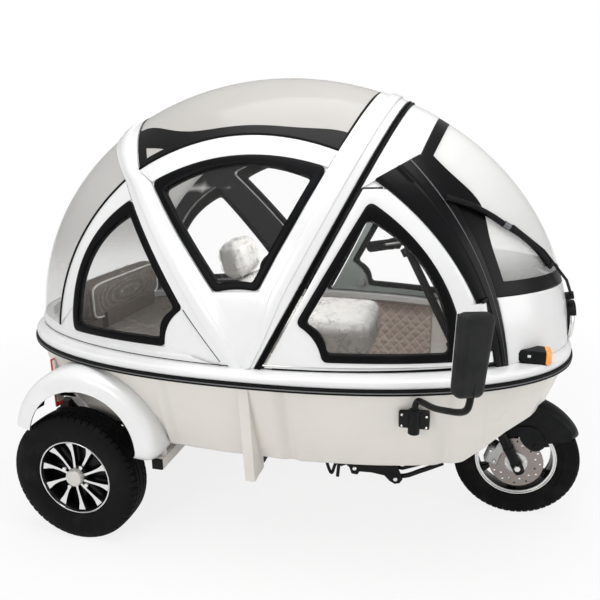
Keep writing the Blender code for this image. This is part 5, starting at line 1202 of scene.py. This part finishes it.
def smooth(points, per_leg=8):
    """Catmull-Rom curve through the points: b + (c - a) t / 2 + (2a - 5b + 4c - d) t^2 / 2
    + (3b - a - 3c + d) t^3 / 2 from b to c, with a before them and d after."""
    p = np.array(points, float)
    p = np.concatenate([2 * p[:1] - p[1:2], p, 2 * p[-1:] - p[-2:-1]])
    t = np.linspace(0, 1, per_leg, endpoint=False)[:, None]
    legs = []
    for a, b, c, d in zip(p, p[1:], p[2:], p[3:]):
        bent, turned = 2 * a - 5 * b + 4 * c - d, 3 * b - a - 3 * c + d
        legs.append(b + (c - a) * t / 2 + bent * t ** 2 / 2 + turned * t ** 3 / 2)
    return np.concatenate(legs + [p[-2:-1]])


def plate(name, line, sides, material, body="body", sharp=40):
    """Flat plate between two planes y, with this outline of (x, z)."""
    points = [np.stack([line[:, 0], 0 * line[:, 0] + y, line[:, 1]], -1) for y in sides]
    faces = grid_faces(2, len(line), False, True).tolist() + caps(2, len(line))
    piece(name, np.concatenate(points), faces, material, body, sharp=sharp)


arch = np.radians(np.linspace(-84, 84, 29))
turns = np.radians(np.linspace(150, 28, 62))[:, None]
nose = np.clip((np.radians(36) - turns) / np.radians(8), 0, 1)
layers = []
for thick in (GUARD_WALL, 0.0):
    r = GUARD_R + thick - GUARD_CROWN * (1 - np.cos(arch)) - 0.004 * nose ** 2
    r = r - 0.012 * (np.abs(arch) / arch.max()) ** 6 * (1 - nose)
    y = (GUARD_HALF + thick) * (1 - 0.45 * nose ** 2) * np.sin(arch)
    layers.append(np.stack([r * np.cos(turns), y, r * np.sin(turns)], -1) + AXLE)
points = np.concatenate([layers[0], layers[1][:, ::-1]], 1)
rows, cols = points.shape[:2]
piece("mudguard_skin", points, grid_faces(rows, cols, False, True).tolist() + end_strips(rows, cols), PLASTIC,
      "steering", ("front_mudguard",))

for name, out in SIDES:
    for part, outline, sides in (("flap", FLAP, FLAP_SIDES), ("lobe", LOBE, LOBE_SIDES)):
        line = smooth(outline + outline[:1], 6)[:-1] + AXLE[[0, 2]]
        plate(f"mudguard_{part}_{name}", line, [out * y for y in sides], PLASTIC, "steering")
    for bolt, ahead, up, sides, finish, slot, profile in FORK_BOLTS:
        spun(bolt % name, profile, AXLE + (ahead, 0, up), sides, finish, "steering", out=out)
    for part, along, radius, high in LEG_RINGS:
        bevelled, straight = radius - RING_BEVEL, high - RING_BEVEL
        profile = ((bevelled, -high), (radius, -straight), (radius, straight), (bevelled, high))
        spun(f"leg_{part}_{name}", profile, AXLE + FORK_UP * (LEG_FOOT + along) + (0, out * LEG_OUT, 0), 28,
             PLASTIC, "steering", way=FORK_UP)

paint = Paint("cast_silver")
CAST = paint.finish(Base_Color=paint.mix(paint.noise(50.0, 4), (0.34, 0.34, 0.335), (0.52, 0.52, 0.51)),
                    Metallic=0.9, Roughness=0.38, Normal=paint.bump(paint.noise(300.0, 3), 0.0004))
dress(CAST, "brake_caliper")
for i, (ahead, up) in enumerate(((-0.098, 0.052), (-0.083, 0.010))):
    spun(f"caliper_bolt_{i}", CALIPER_BOLT, AXLE + (ahead, 0, up), 6, MACHINED, "steering",
         out=-1.0)
swept("brake_hose", smooth(HOSE_LINE) + AXLE, circle(HOSE_R, 10), PLASTIC, "steering")

# ------------------------------------------------------------------ brake linkage under the floor
# A pressed steel bracket hangs from the frame on the right, with the foot brake's rods, a return
# spring and its hook.

BRACKET = (                 # outline in the side view
    (0.222, 0.345), (0.224, 0.285), (0.236, 0.262), (0.256, 0.272), (0.268, 0.262), (0.276, 0.238),
    (0.298, 0.236), (0.306, 0.250), (0.350, 0.252), (0.398, 0.246), (0.418, 0.226), (0.436, 0.217),
    (0.454, 0.222), (0.464, 0.238), (0.458, 0.256), (0.442, 0.290), (0.436, 0.345))
BRACKET_SIDES = (-0.2945, -0.2865)
BRACKET_BOLT = ((0.0085, 0.0), (0.0085, -0.0050), (0.0065, -0.0068), (0.0001, -0.0068))
LINKS = (
    # name, y, radius, side-view points
    ("brake_rod", -0.272, 0.0085,
     ((0.300, 0.262), (0.380, 0.256), (0.459, 0.240), (0.530, 0.272), (0.604, 0.312))),
    ("brake_hook", -0.290, 0.0060,
     ((0.166, 0.345), (0.181, 0.272), (0.199, 0.228), (0.212, 0.262), (0.228, 0.300))),
    ("brake_spring", -0.284, 0.0065, ((0.238, 0.345), (0.227, 0.270), (0.2215, 0.214))),
    ("brake_shaft", -0.245, 0.0100, ((0.330, 0.300), (0.420, 0.292), (0.455, 0.275))))

plate("brake_bracket", np.array(BRACKET), BRACKET_SIDES, SATIN, sharp=30)
for name, y, radius, line in LINKS:
    swept(name, smooth([(x, y, z) for x, z in line], 6), circle(radius), SATIN, up=(0, 1, 0))
for name, x, z in (("front", 0.438, 0.238), ("rear", 0.287, 0.262)):
    spun("bracket_bolt_" + name, BRACKET_BOLT, (x, BRACKET_SIDES[0], z), 6, MACHINED)

# ------------------------------------------------------------------ lamps
# Black tapered turn signals with an amber front edge and a white reflex, a round headlight
# under a black brow, and slim red tail lamps on stays.


def lens(name, colour, glow):
    """Clear moulded plastic: gloss over a ribbed coloured body."""
    paint = Paint(name)
    ribs = (paint.place(2) * 900.0).math("SINE")
    return paint.finish(Base_Color=colour, Roughness=0.10, Coat_Weight=0.6, Emission_Color=colour,
                        Emission_Strength=glow, Normal=paint.bump(ribs, 0.0004))


AMBER = lens("amber_lens", (0.95, 0.33, 0.03), 0.15)
RED = lens("red_lens", (0.62, 0.004, 0.008), 0.12)
CLEAR = lens("clear_lens", (0.80, 0.80, 0.78), 0.0)
SIGNAL = (
    # share of the length, share of the half height, how far the face stands back
    (0.0, 0.55, 0.0140), (0.04, 0.80, 0.0050), (0.16, 0.96, 0.0012), (0.60, 1.00, 0.0),
    (0.80, 0.94, 0.0020), (0.93, 0.86, 0.0060))
SIGNAL_EDGE, SIGNAL_DROP = 0.006, 0.004     # the face's chamfer, and its fall towards the front


def signal_rings(outer, inner, side, start, long, middle_z, half_z):
    """Six-sided sections: root, chamfer, face and back again, one at each row of SIGNAL."""
    share, tall, back = columns(SIGNAL)
    face = outer - side * back
    y = np.concatenate([inner + 0 * share, face - side * SIGNAL_EDGE, face], 1)
    up = half_z * tall * np.array((1.0, 1.0, 0.6))
    drop = SIGNAL_DROP * share * np.array((0.0, 1.0, 1.0))
    lower = np.stack([start + long * share + 0 * y, y, middle_z - up - drop], -1)
    upper = np.stack([start + long * share + 0 * y, y, middle_z + up - drop], -1)
    return np.concatenate([lower, upper[:, ::-1]], 1)


for name, out in SIDES:
    low, high = [np.array(end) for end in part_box("turn_signal_" + name)]
    long = high[0] - low[0]
    outer, inner = (low[1], high[1]) if out < 0 else (high[1], low[1])
    middle_z, half_z = (low[2] + high[2]) / 2, (high[2] - low[2]) / 2
    rings = signal_rings(outer, inner, out, low[0], long, middle_z, half_z)
    tube = grid_faces(6, 6, False, True).tolist() + caps(6, 6)
    piece("signal_housing_" + name, rings, tube, PLASTIC, "body", ("turn_signal_" + name,))
    tip = rings[[4, 5, 5, 5]]           # over the housing's front, then drawn in to its end
    tip[0, :, 0] += 0.002
    tip[:2, 1:5, 1] += out * 0.0010
    tip[:2, 3:, 2] += 0.0016
    tip[2, :, 0] = high[0] - 0.001
    tip[2, 1:5, 1] -= out * 0.004
    tip[3, :, 0] = high[0]
    tip[3, :, 2] = middle_z + (tip[3, :, 2] - middle_z) * 0.8
    tip[3, 1:5, 1] -= out * 0.010
    tube = grid_faces(4, 6, False, True).tolist() + caps(4, 6)
    piece("signal_lens_" + name, tip, tube, AMBER)
    slab("signal_reflex_" + name, (low[0] + long * 0.34, outer - out * 0.0006, middle_z + 0.004),
         (0.0050, 0.0016, 0.0042), 0.0008, CLEAR)
    slab("signal_seal_" + name, (low[0] + long * 0.46, (outer + inner) / 2, middle_z - half_z * 0.98),
         (long * 0.40, abs(outer - inner) * 0.42, 0.0022), 0.0015, RUBBER)

LAMP_AXIS = np.array((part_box("headlight")[1][0] - 0.037, 0.0, 0.798))
# Profiles list (radius, distance ahead of LAMP_AXIS).
LAMP_RING = (
    (0.0600, 0.0180), (0.0700, 0.0150), (0.0712, 0.0225), (0.0690, 0.0270), (0.0630, 0.0310),
    (0.0590, 0.0300))
LAMP_LENS = [(0.0605 * math.cos(t), 0.0290 + 0.0085 * math.sin(t)) for t in np.linspace(0, 1.5, 14)]
BROW = ((0.0712, 0.0140), (0.0742, 0.0140), (0.0746, 0.0340), (0.0730, 0.0350), (0.0712, 0.0340))
dress(PLASTIC, "headlight")
spun("headlight_ring", LAMP_RING, LAMP_AXIS, 72, MACHINED, closed=True, way=(1, 0, 0))
spun("headlight_lens", LAMP_LENS, LAMP_AXIS, 72, CLEAR, way=(1, 0, 0))
turns = np.radians(np.linspace(-62, 62, 41))
r, ahead = columns(BROW)
points = np.stack([ahead + 0 * turns, r * np.sin(turns), r * np.cos(turns)], -1) + LAMP_AXIS
rows, cols = points.shape[:2]
ends = [[cols * i for i in range(rows)], [cols * i + cols - 1 for i in range(rows)][::-1]]
piece("headlight_brow", points, grid_faces(rows, cols, True, False).tolist() + ends, PLASTIC)

for name, out in SIDES:
    low, high = [np.array(end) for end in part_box("tail_lamp_" + name)]
    y = (low[1] if out < 0 else high[1]) - out * 0.019
    middle_z, half_z = (low[2] + high[2]) / 2, (high[2] - low[2]) / 2
    slab("tail_lens_" + name, (low[0] + 0.0045, y, middle_z - 0.010), (0.0045, 0.0185, half_z + 0.010),
         0.0030, RED, replaces=("tail_lamp_" + name,))
    slab("tail_back_" + name, (low[0] + 0.0130, y, middle_z), (0.0060, 0.0165, half_z - 0.003), 0.0020, CREAM)
    swept("tail_stay_" + name, [(low[0] + 0.016, y, 0.500), (high[0] + 0.002, y, 0.500)], circle(0.007, 16),
          SATIN)

# ------------------------------------------------------------------ mirrors
# Boxy plastic heads on bent steel arms.  Each arm stands in a boss on a plate that four screws
# hold to the tub's leaning wall.

MIRROR_FOOT = (0.509, 0.628, 0.686)     # x, the waist's half width, z of the strip's foot
TUB_SLOPE = 0.245                       # outward lean of the tub's wall behind the plate
PLATE_UP, BOSS_OUT, HEAD_AT = -0.084, -0.068, (0.146, 0.157, 0.219)
ARM_LINE = (                # ahead of the foot, out beyond the waist, over the strip's foot
    (0.000, -0.066, -0.056), (0.003, -0.063, -0.026), (0.012, -0.052, -0.009), (0.030, -0.022, -0.002),
    (0.060, 0.028, 0.008), (0.100, 0.088, 0.030), (0.128, 0.128, 0.048), (0.143, 0.149, 0.066),
    (0.149, 0.156, 0.090), (0.151, 0.157, 0.116))
BOSS = ((0.015, -0.126), (0.0180, -0.124), (0.0180, -0.050), (0.0160, -0.046))      # radius, up
COLLAR = ((0.0170, -0.060), (0.0195, -0.058), (0.0195, -0.050), (0.0170, -0.048))
MIRROR_BOLT = ((0.0040, -0.001), (0.0040, 0.0022), (0.0028, 0.0036), (0.0001, 0.0038))
BOLT_PLACES = ((-0.037, -0.063), (0.037, -0.063), (-0.037, -0.104), (0.037, -0.104))

paint = Paint("mirror_plastic")
black = paint.mix(paint.noise(18.0, 3).above(0.3, 0.7), (0.0125, 0.0130, 0.0130), (0.0200, 0.0205, 0.0210))
MIRROR_SHELL = paint.finish(Base_Color=black, Roughness=0.46, Specular_IOR_Level=0.15,
                            Normal=paint.bump(paint.noise(1100.0, 2), 0.0006))
paint = Paint("mirror_glass")
SILVERED = paint.finish(Base_Color=(0.86, 0.88, 0.88), Metallic=1.0,
                        Roughness=paint.noise(3.0, 2) * 0.02 + 0.02)


def by_mirror(out, ahead, beyond, up):
    """Place ahead of the mirror's foot, out beyond the waist and over the strip's foot."""
    return np.array((MIRROR_FOOT[0] + ahead, out * (MIRROR_FOOT[1] + beyond), MIRROR_FOOT[2] + up))


for name, out in SIDES:
    turn = Matrix.Rotation(math.radians(-30) * out, 3, "Z") @ Matrix.Rotation(math.radians(4), 3, "Y")
    head = by_mirror(out, *HEAD_AT)
    slot_at, glass_at = np.array((0.004, out * 0.0255, -0.088)), np.array((0, -out * 0.0250, 0.004))
    slab("mirror_head_" + name, head, (0.050, 0.026, 0.113), 0.0235, MIRROR_SHELL, turn,
         ("mirror_" + name,), foot=0.84, segments=8)
    slab("mirror_slot_" + name, head + np.array(turn) @ slot_at, (0.0012, 0.0010, 0.022), 0.0006, PLASTIC,
         turn, segments=2)
    slab("mirror_glass_" + name, head + np.array(turn) @ glass_at, (0.041, 0.0018, 0.100), 0.0016, SILVERED,
         turn, foot=0.85, segments=3)
    swept("mirror_arm_" + name, smooth([by_mirror(out, *p) for p in ARM_LINE], 6), circle(0.0095, 20), SATIN,
          up=(0.3, 1.0, 0.2))
    lean = Matrix(((1, 0, 0), (0, 1, out * TUB_SLOPE), (0, 0, 1)))
    slab("mirror_plate_" + name, by_mirror(out, 0, -0.0845, PLATE_UP), (0.047, 0.0185, 0.030), 0.006, SATIN,
         lean)
    for part, profile, finish, slot in (("boss", BOSS, SATIN, "black_paint"),
                                        ("collar", COLLAR, PLASTIC, "black_plastic")):
        swept(f"mirror_{part}_{name}", [by_mirror(out, 0, BOSS_OUT, up) for _, up in profile],
              [circle(r, 24) for r, _ in profile], finish, up=(0, 1, 0))
    for i, (ahead, up) in enumerate(BOLT_PLACES):
        spot = by_mirror(out, ahead, -0.066 + TUB_SLOPE * (up - PLATE_UP), up)
        spun(f"mirror_bolt_{name}_{i}", MIRROR_BOLT, spot, 16, MACHINED, out=out)

# ------------------------------------------------------------------ wiper and controls
# A rubber blade on a steel arm over the windscreen, the handlebar's grips, levers and switch
# blocks, and a blank dial under a hood on the dashboard.

BLADE_LINE = (              # share of the blade, share of the egg's half length, y
    (0.0, 0.8929, -0.175), (0.47, 0.7472, -0.262), (1.0, 0.5686, -0.335))
BLADE_SECTION = (
    (0.0022, -0.013), (0.0085, -0.004), (0.0085, 0.005), (0.0040, 0.0095), (-0.0040, 0.0095),
    (-0.0085, 0.005), (-0.0085, -0.004), (-0.0022, -0.013))


def on_blade(k, out):
    """Point along the wiper's blade, k from its lower end to its upper one, out from the egg:
    unit = (share, y / b, sqrt(1 - share^2 - (y / b)^2)), its normal unit / half."""
    shares, lengths, ys = np.transpose(BLADE_LINE)
    share, flat = np.interp(k, shares, lengths), np.interp(k, shares, ys) / EGG_HALF[1]
    unit = np.array((share, flat, math.sqrt(1 - share ** 2 - flat ** 2)))
    normal = unit / EGG_HALF
    return EGG_MIDDLE + unit * EGG_HALF + normal / np.linalg.norm(normal) * out


dress(PLASTIC, "wiper", "handlebar", "dashboard")
blade_up = tuple(on_blade(0.5, 1.0) - on_blade(0.5, 0.0))
swept("wiper_blade", [on_blade(k, 0.014) for k in np.linspace(0.02, 1.0, 40)], BLADE_SECTION, PLASTIC,
      up=blade_up)
for name, k, long, finish in (("clip", 0.47, 0.026, GREY_TRIM_AND_HIGHLIGHT), ("end_low", 0.02, 0.010, PLASTIC),
                              ("end_high", 0.99, 0.012, PLASTIC)):
    swept("wiper_" + name, [on_blade(k - long, 0.017), on_blade(k + long, 0.017)],
          circle(1.0, 16) * (0.011, 0.010), finish, up=blade_up)

BAR = np.array((0.8513, 0.0, 0.2204)) + FORK_UP * 0.914
BAR_BEND, BAR_END = (0.0, 0.11, 0.05), (-0.10, 0.30, 0.06)      # from the bar's middle
GRIP_RIBS = np.linspace(0.46, 1.055, 60)    # shares of the way from the bend to the end
LEVER_LINE = ((0.34, 0.35), (0.50, 1.0), (0.80, 1.0), (1.02, 0.8))  # share of that way, of the reach
LEVER_REACH = np.array((0.055, 0.0, 0.010))
LINE_POINTS = ((0.03, -0.13, 0.06), (0.07, -0.10, 0.04), (0.075, -0.03, 0.0), (0.045, -0.01, -0.045))
radii = 0.0172 + 0.0012 * (np.arange(len(GRIP_RIBS)) % 2)
radii[[0, 1, -1]] = (0.0200, 0.0200, 0.0150)
for name, out in SIDES:
    start = BAR + np.array(BAR_BEND) * (1, out, 1)
    way = BAR + np.array(BAR_END) * (1, out, 1) - start
    swept("grip_" + name, [start + way * share for share in GRIP_RIBS], [circle(r, 20) for r in radii],
          RUBBER, "steering")
    lever = smooth([start + way * share + LEVER_REACH * reach for share, reach in LEVER_LINE], 6)
    swept("lever_" + name, lever, circle(0.0040, 12) * (1.9, 1.0), STEEL, "steering")
    slab("switch_" + name, start + way * 0.34, (0.019, 0.022, 0.017), 0.006, PLASTIC,
         body="steering")
swept("brake_line", smooth(LINE_POINTS) + BAR, circle(HOSE_R, 10), PLASTIC, "steering")

paint = Paint("blank_dial")
DIAL = paint.finish(Base_Color=(0.02, 0.025, 0.028), Roughness=paint.noise(5.0, 2) * 0.05 + 0.06)
DIAL_TILT = Matrix.Rotation(math.radians(-32), 3, "Y")
slab("dial_hood", (0.700, 0.0, 0.985), (0.055, 0.095, 0.016), 0.012, PLASTIC, DIAL_TILT,
     segments=6)
slab("dial_glass", (0.6935, 0.0, 0.9985), (0.040, 0.080, 0.0016), 0.0014, DIAL, DIAL_TILT)

# ------------------------------------------------------------------ seats and bench
# Foam cushions with crowned faces and piped seams, each in its clear shipping film.  The
# driver's seat is cream vinyl and the bench brown-grey cloth.

LEAN = Matrix.Rotation(math.radians(-14), 3, "Y")
HINGE_LINE = np.array((-0.087, 0.0, 0.640))     # about which the driver's back leans
FILM_OVER, FILM_FOLD = 0.0020, 0.0055
PIPING_UP = {"driver_squab": 0.026, "bench_squab": 0.022}   # cord's height over the cushion's middle


def cushion(name, centre, half, corner, crown, material, replaces=(), turn=None, cuts=22, ripple=0.0,
            grow=0.0):
    """Padded block: p = q + corner (d / |d|), q the point clamped to the core box and d what is
    left over; each face then rises by crown (1 - u^2)(1 - v^2), and film ripples by ridged sines."""
    bm = bmesh.new()
    bmesh.ops.create_cube(bm, size=2.0)
    bmesh.ops.subdivide_edges(bm, edges=bm.edges[:], cuts=cuts, use_grid_fill=True)
    unit = np.array([v.co[:] for v in bm.verts])
    faces = [[v.index for v in f.verts] for f in bm.faces]
    bm.free()
    half, corner = np.array(half) + grow, corner + grow
    p = (np.sin(unit * np.pi / 2) * 0.35 + unit * 0.65) * half
    core = np.clip(p, corner - half, half - corner)
    left = p - core
    points = core + left / np.maximum(np.linalg.norm(left, axis=1, keepdims=True), 1e-9) * corner
    side = np.abs(unit) > 0.9999
    for axis in range(3):
        u, v = [unit[:, k] for k in range(3) if k != axis]
        rise = crown[axis] * (1 - u ** 2) * (1 - v ** 2)
        points[:, axis] += np.where(side[:, axis], np.sign(unit[:, axis]) * rise, 0.0)
    if ripple:
        a, b, c = (points * (61.0, 47.0, 39.0)).T
        fold = ((1 - np.abs(np.sin(a + 1.7 * np.sin(b * 0.9)))) ** 3
                + (1 - np.abs(np.sin(c - b + 1.3 * np.sin(a)))) ** 3)
        points += points / np.linalg.norm(points, axis=1, keepdims=True) * (ripple * fold)[:, None]
    if turn is not None:
        points = points @ np.array(turn).T
    return piece(name, points + np.array(centre), faces, material, "body", replaces, sharp=60)


def piping(name, centre, half, corner, level):
    """Welt cord round a cushion's rounded outline: cords of 1 / 96 turn at the corners, straight
    between them."""
    angles = np.linspace(0, 2 * np.pi, 96, endpoint=False)
    ways = np.stack([np.cos(angles), np.sin(angles)], -1)
    line = np.sign(ways) * (np.array(half[:2]) - corner) + ways * corner * 0.995
    legs = []
    for start, end in zip(line, np.roll(line, -1, 0)):
        straight = np.abs(start - end).max() > corner * 0.5
        legs.append(np.linspace(start, end, 13 if straight else 1, endpoint=False))
    flat = np.concatenate(legs)
    path = np.concatenate([flat, np.full((len(flat), 1), level)], 1) + np.array(centre)
    swept(name, path, circle(0.0032, 8), VINYL, loop=True)


def leaned(x, z):
    """A point of the upright seat back, once it leans about its foot."""
    return np.array(LEAN @ Vector((x - HINGE_LINE[0], 0.0, z - HINGE_LINE[2]))) + HINGE_LINE


paint = Paint("cream_vinyl")
VINYL = paint.finish(Base_Color=paint.mix(paint.noise(9.0, 4), (0.84, 0.825, 0.795), (0.90, 0.885, 0.86)),
                     Roughness=paint.noise(25.0, 3) * 0.15 + 0.40,
                     Normal=paint.bump(paint.noise(500.0, 3) + paint.noise(30.0, 3) * 2.0, 0.0010))
paint = Paint("bench_cloth")
weave = (paint.place(0) * 2600.0).math("SINE") * (paint.place(1) * 2600.0).math("SINE")
CLOTH = paint.finish(Base_Color=paint.mix(paint.noise(60.0, 5), (0.20, 0.165, 0.14), (0.37, 0.31, 0.265)),
                     Roughness=0.85, Normal=paint.bump(weave + paint.noise(300.0, 3), 0.0010))
paint = Paint("clear_film")
creases = paint.noise(26.0, 5, 0.65)
# Thin fold lines in the film are painted darker: painted shade in its creases.
fold_shade = paint.noise(9.0, 3, 0.5).math("SUBTRACT", 0.5).math("ABSOLUTE").above(0.030, 0.004)
FILM = paint.finish(Base_Color=paint.mix(fold_shade, (0.95, 0.95, 0.94), (0.50, 0.49, 0.47)), Roughness=0.10,
                    Alpha=creases.above(0.46, 0.70) * 0.26 + fold_shade * 0.16 + 0.05,
                    Specular_IOR_Level=0.7, Normal=paint.bump(creases, 0.014, 0.9))

CUSHIONS = (
    # name, centre, half sizes, corner, crown of the faces, finish, slot, stands for, leans
    ("driver_squab", (0.115, 0.0, 0.7155), (0.200, 0.205, 0.072), 0.045, (0.006, 0.004, 0.014), VINYL,
     "seat_vinyl", ("driver_seat_cushion",), False),
    ("driver_back", (-0.1335, 0.0, 0.783), (0.0465, 0.185, 0.140), 0.038, (0.010, 0.004, 0.006), VINYL,
     "seat_vinyl", ("driver_seat_back",), True),
    ("driver_headrest", (-0.155, 0.0, 1.013), (0.046, 0.108, 0.068), 0.036, (0.008, 0.004, 0.006), VINYL,
     "seat_vinyl", (), True),
    ("bench_squab", (-0.550, 0.0, 0.675), (0.194, 0.360, 0.053), 0.030, (0.004, 0.003, 0.010), CLOTH,
     "bench_cloth", ("bench_cushion",), False),
    ("bench_rest", (-0.806, 0.0, 0.8275), (0.042, 0.270, 0.0760), 0.028, (0.008, 0.003, 0.004), CLOTH,
     "bench_cloth", ("bench_back",), False))
for name, centre, half, corner, crown, finish, slot, stands_for, leans in CUSHIONS:
    turn = LEAN if leans else None
    centre = leaned(centre[0], centre[2]) if leans else centre
    cushion(name, centre, half, corner, crown, finish, stands_for, turn)
    cushion(name + "_film", centre, half, corner, crown, FILM, (), turn, 40, FILM_FOLD,
            FILM_OVER)
    if name in PIPING_UP:
        piping(name + "_piping", centre, half, corner, PIPING_UP[name])

REST_PIPE = (-0.7655, 0.264, 0.8275, 0.070, 0.28)   # x, half width, middle z, half height, exponent
x, half_y, middle_z, half_z, power = REST_PIPE
t = np.linspace(0, 2 * np.pi, 120, endpoint=False)
c, s = np.cos(t), np.sin(t)
edge = np.stack([x + 0 * t, half_y * np.sign(c) * np.abs(c) ** power,
                 middle_z + half_z * np.sign(s) * np.abs(s) ** power], -1)
swept("bench_rest_piping", edge, circle(0.0045, 8), VINYL, up=(1, 0, 0), loop=True)
slab("bench_bracket", (-0.7605, 0.0, 0.650), (0.0142, 0.200, 0.128), 0.003, CLOTH)
for name, out in SIDES:
    stalk = [leaned(-0.150, z) + (0, out * 0.045, 0) for z in (0.890, 0.990)]
    swept("headrest_stalk_" + name, stalk, circle(0.0055, 16), MACHINED, up=(1, 0, 0))
slab("back_bracket", leaned(-0.118, 0.712), (0.030, 0.118, 0.022), 0.004, SATIN, LEAN)

# ------------------------------------------------------------------ side linings and seat base
# The linings are foam-backed leathercloth quilted in diamonds, stitched in a paler thread; the
# driver's seat stands on a moulded grey plastic base.

DIAMOND = 0.050             # side of the quilting's diamonds

paint = Paint("grey_plastic")
GREY = paint.finish(Base_Color=paint.mix(paint.noise(20.0, 4), (0.30, 0.305, 0.30), (0.36, 0.365, 0.36)),
                    Roughness=paint.noise(30.0, 3) * 0.1 + 0.48,
                    Normal=paint.bump(paint.noise(600.0, 2), 0.0004))
paint = Paint("quilted_lining")
x, z = paint.place(0), paint.place(2)
rising, falling = [(((x + z * slope) / DIAMOND).math("FRACT") - 0.5).math("ABSOLUTE")
                   for slope in (1.0, -1.0)]
stitch = rising.math("MINIMUM", falling)
leather = paint.mix(paint.noise(40.0, 4), (0.47, 0.37, 0.32), (0.57, 0.47, 0.41))
QUILT = paint.finish(Base_Color=paint.mix(stitch.above(0.035, 0.012), leather, (0.76, 0.69, 0.63)),
                     Roughness=0.62,
                     Normal=paint.bump(stitch.above(0.0, 0.45) + paint.noise(500.0, 2) * 0.05, 0.006))
dress(GREY, "driver_seat_base")
dress(QUILT, "side_lining_right", "side_lining_left")

low, high = CAD_BOX
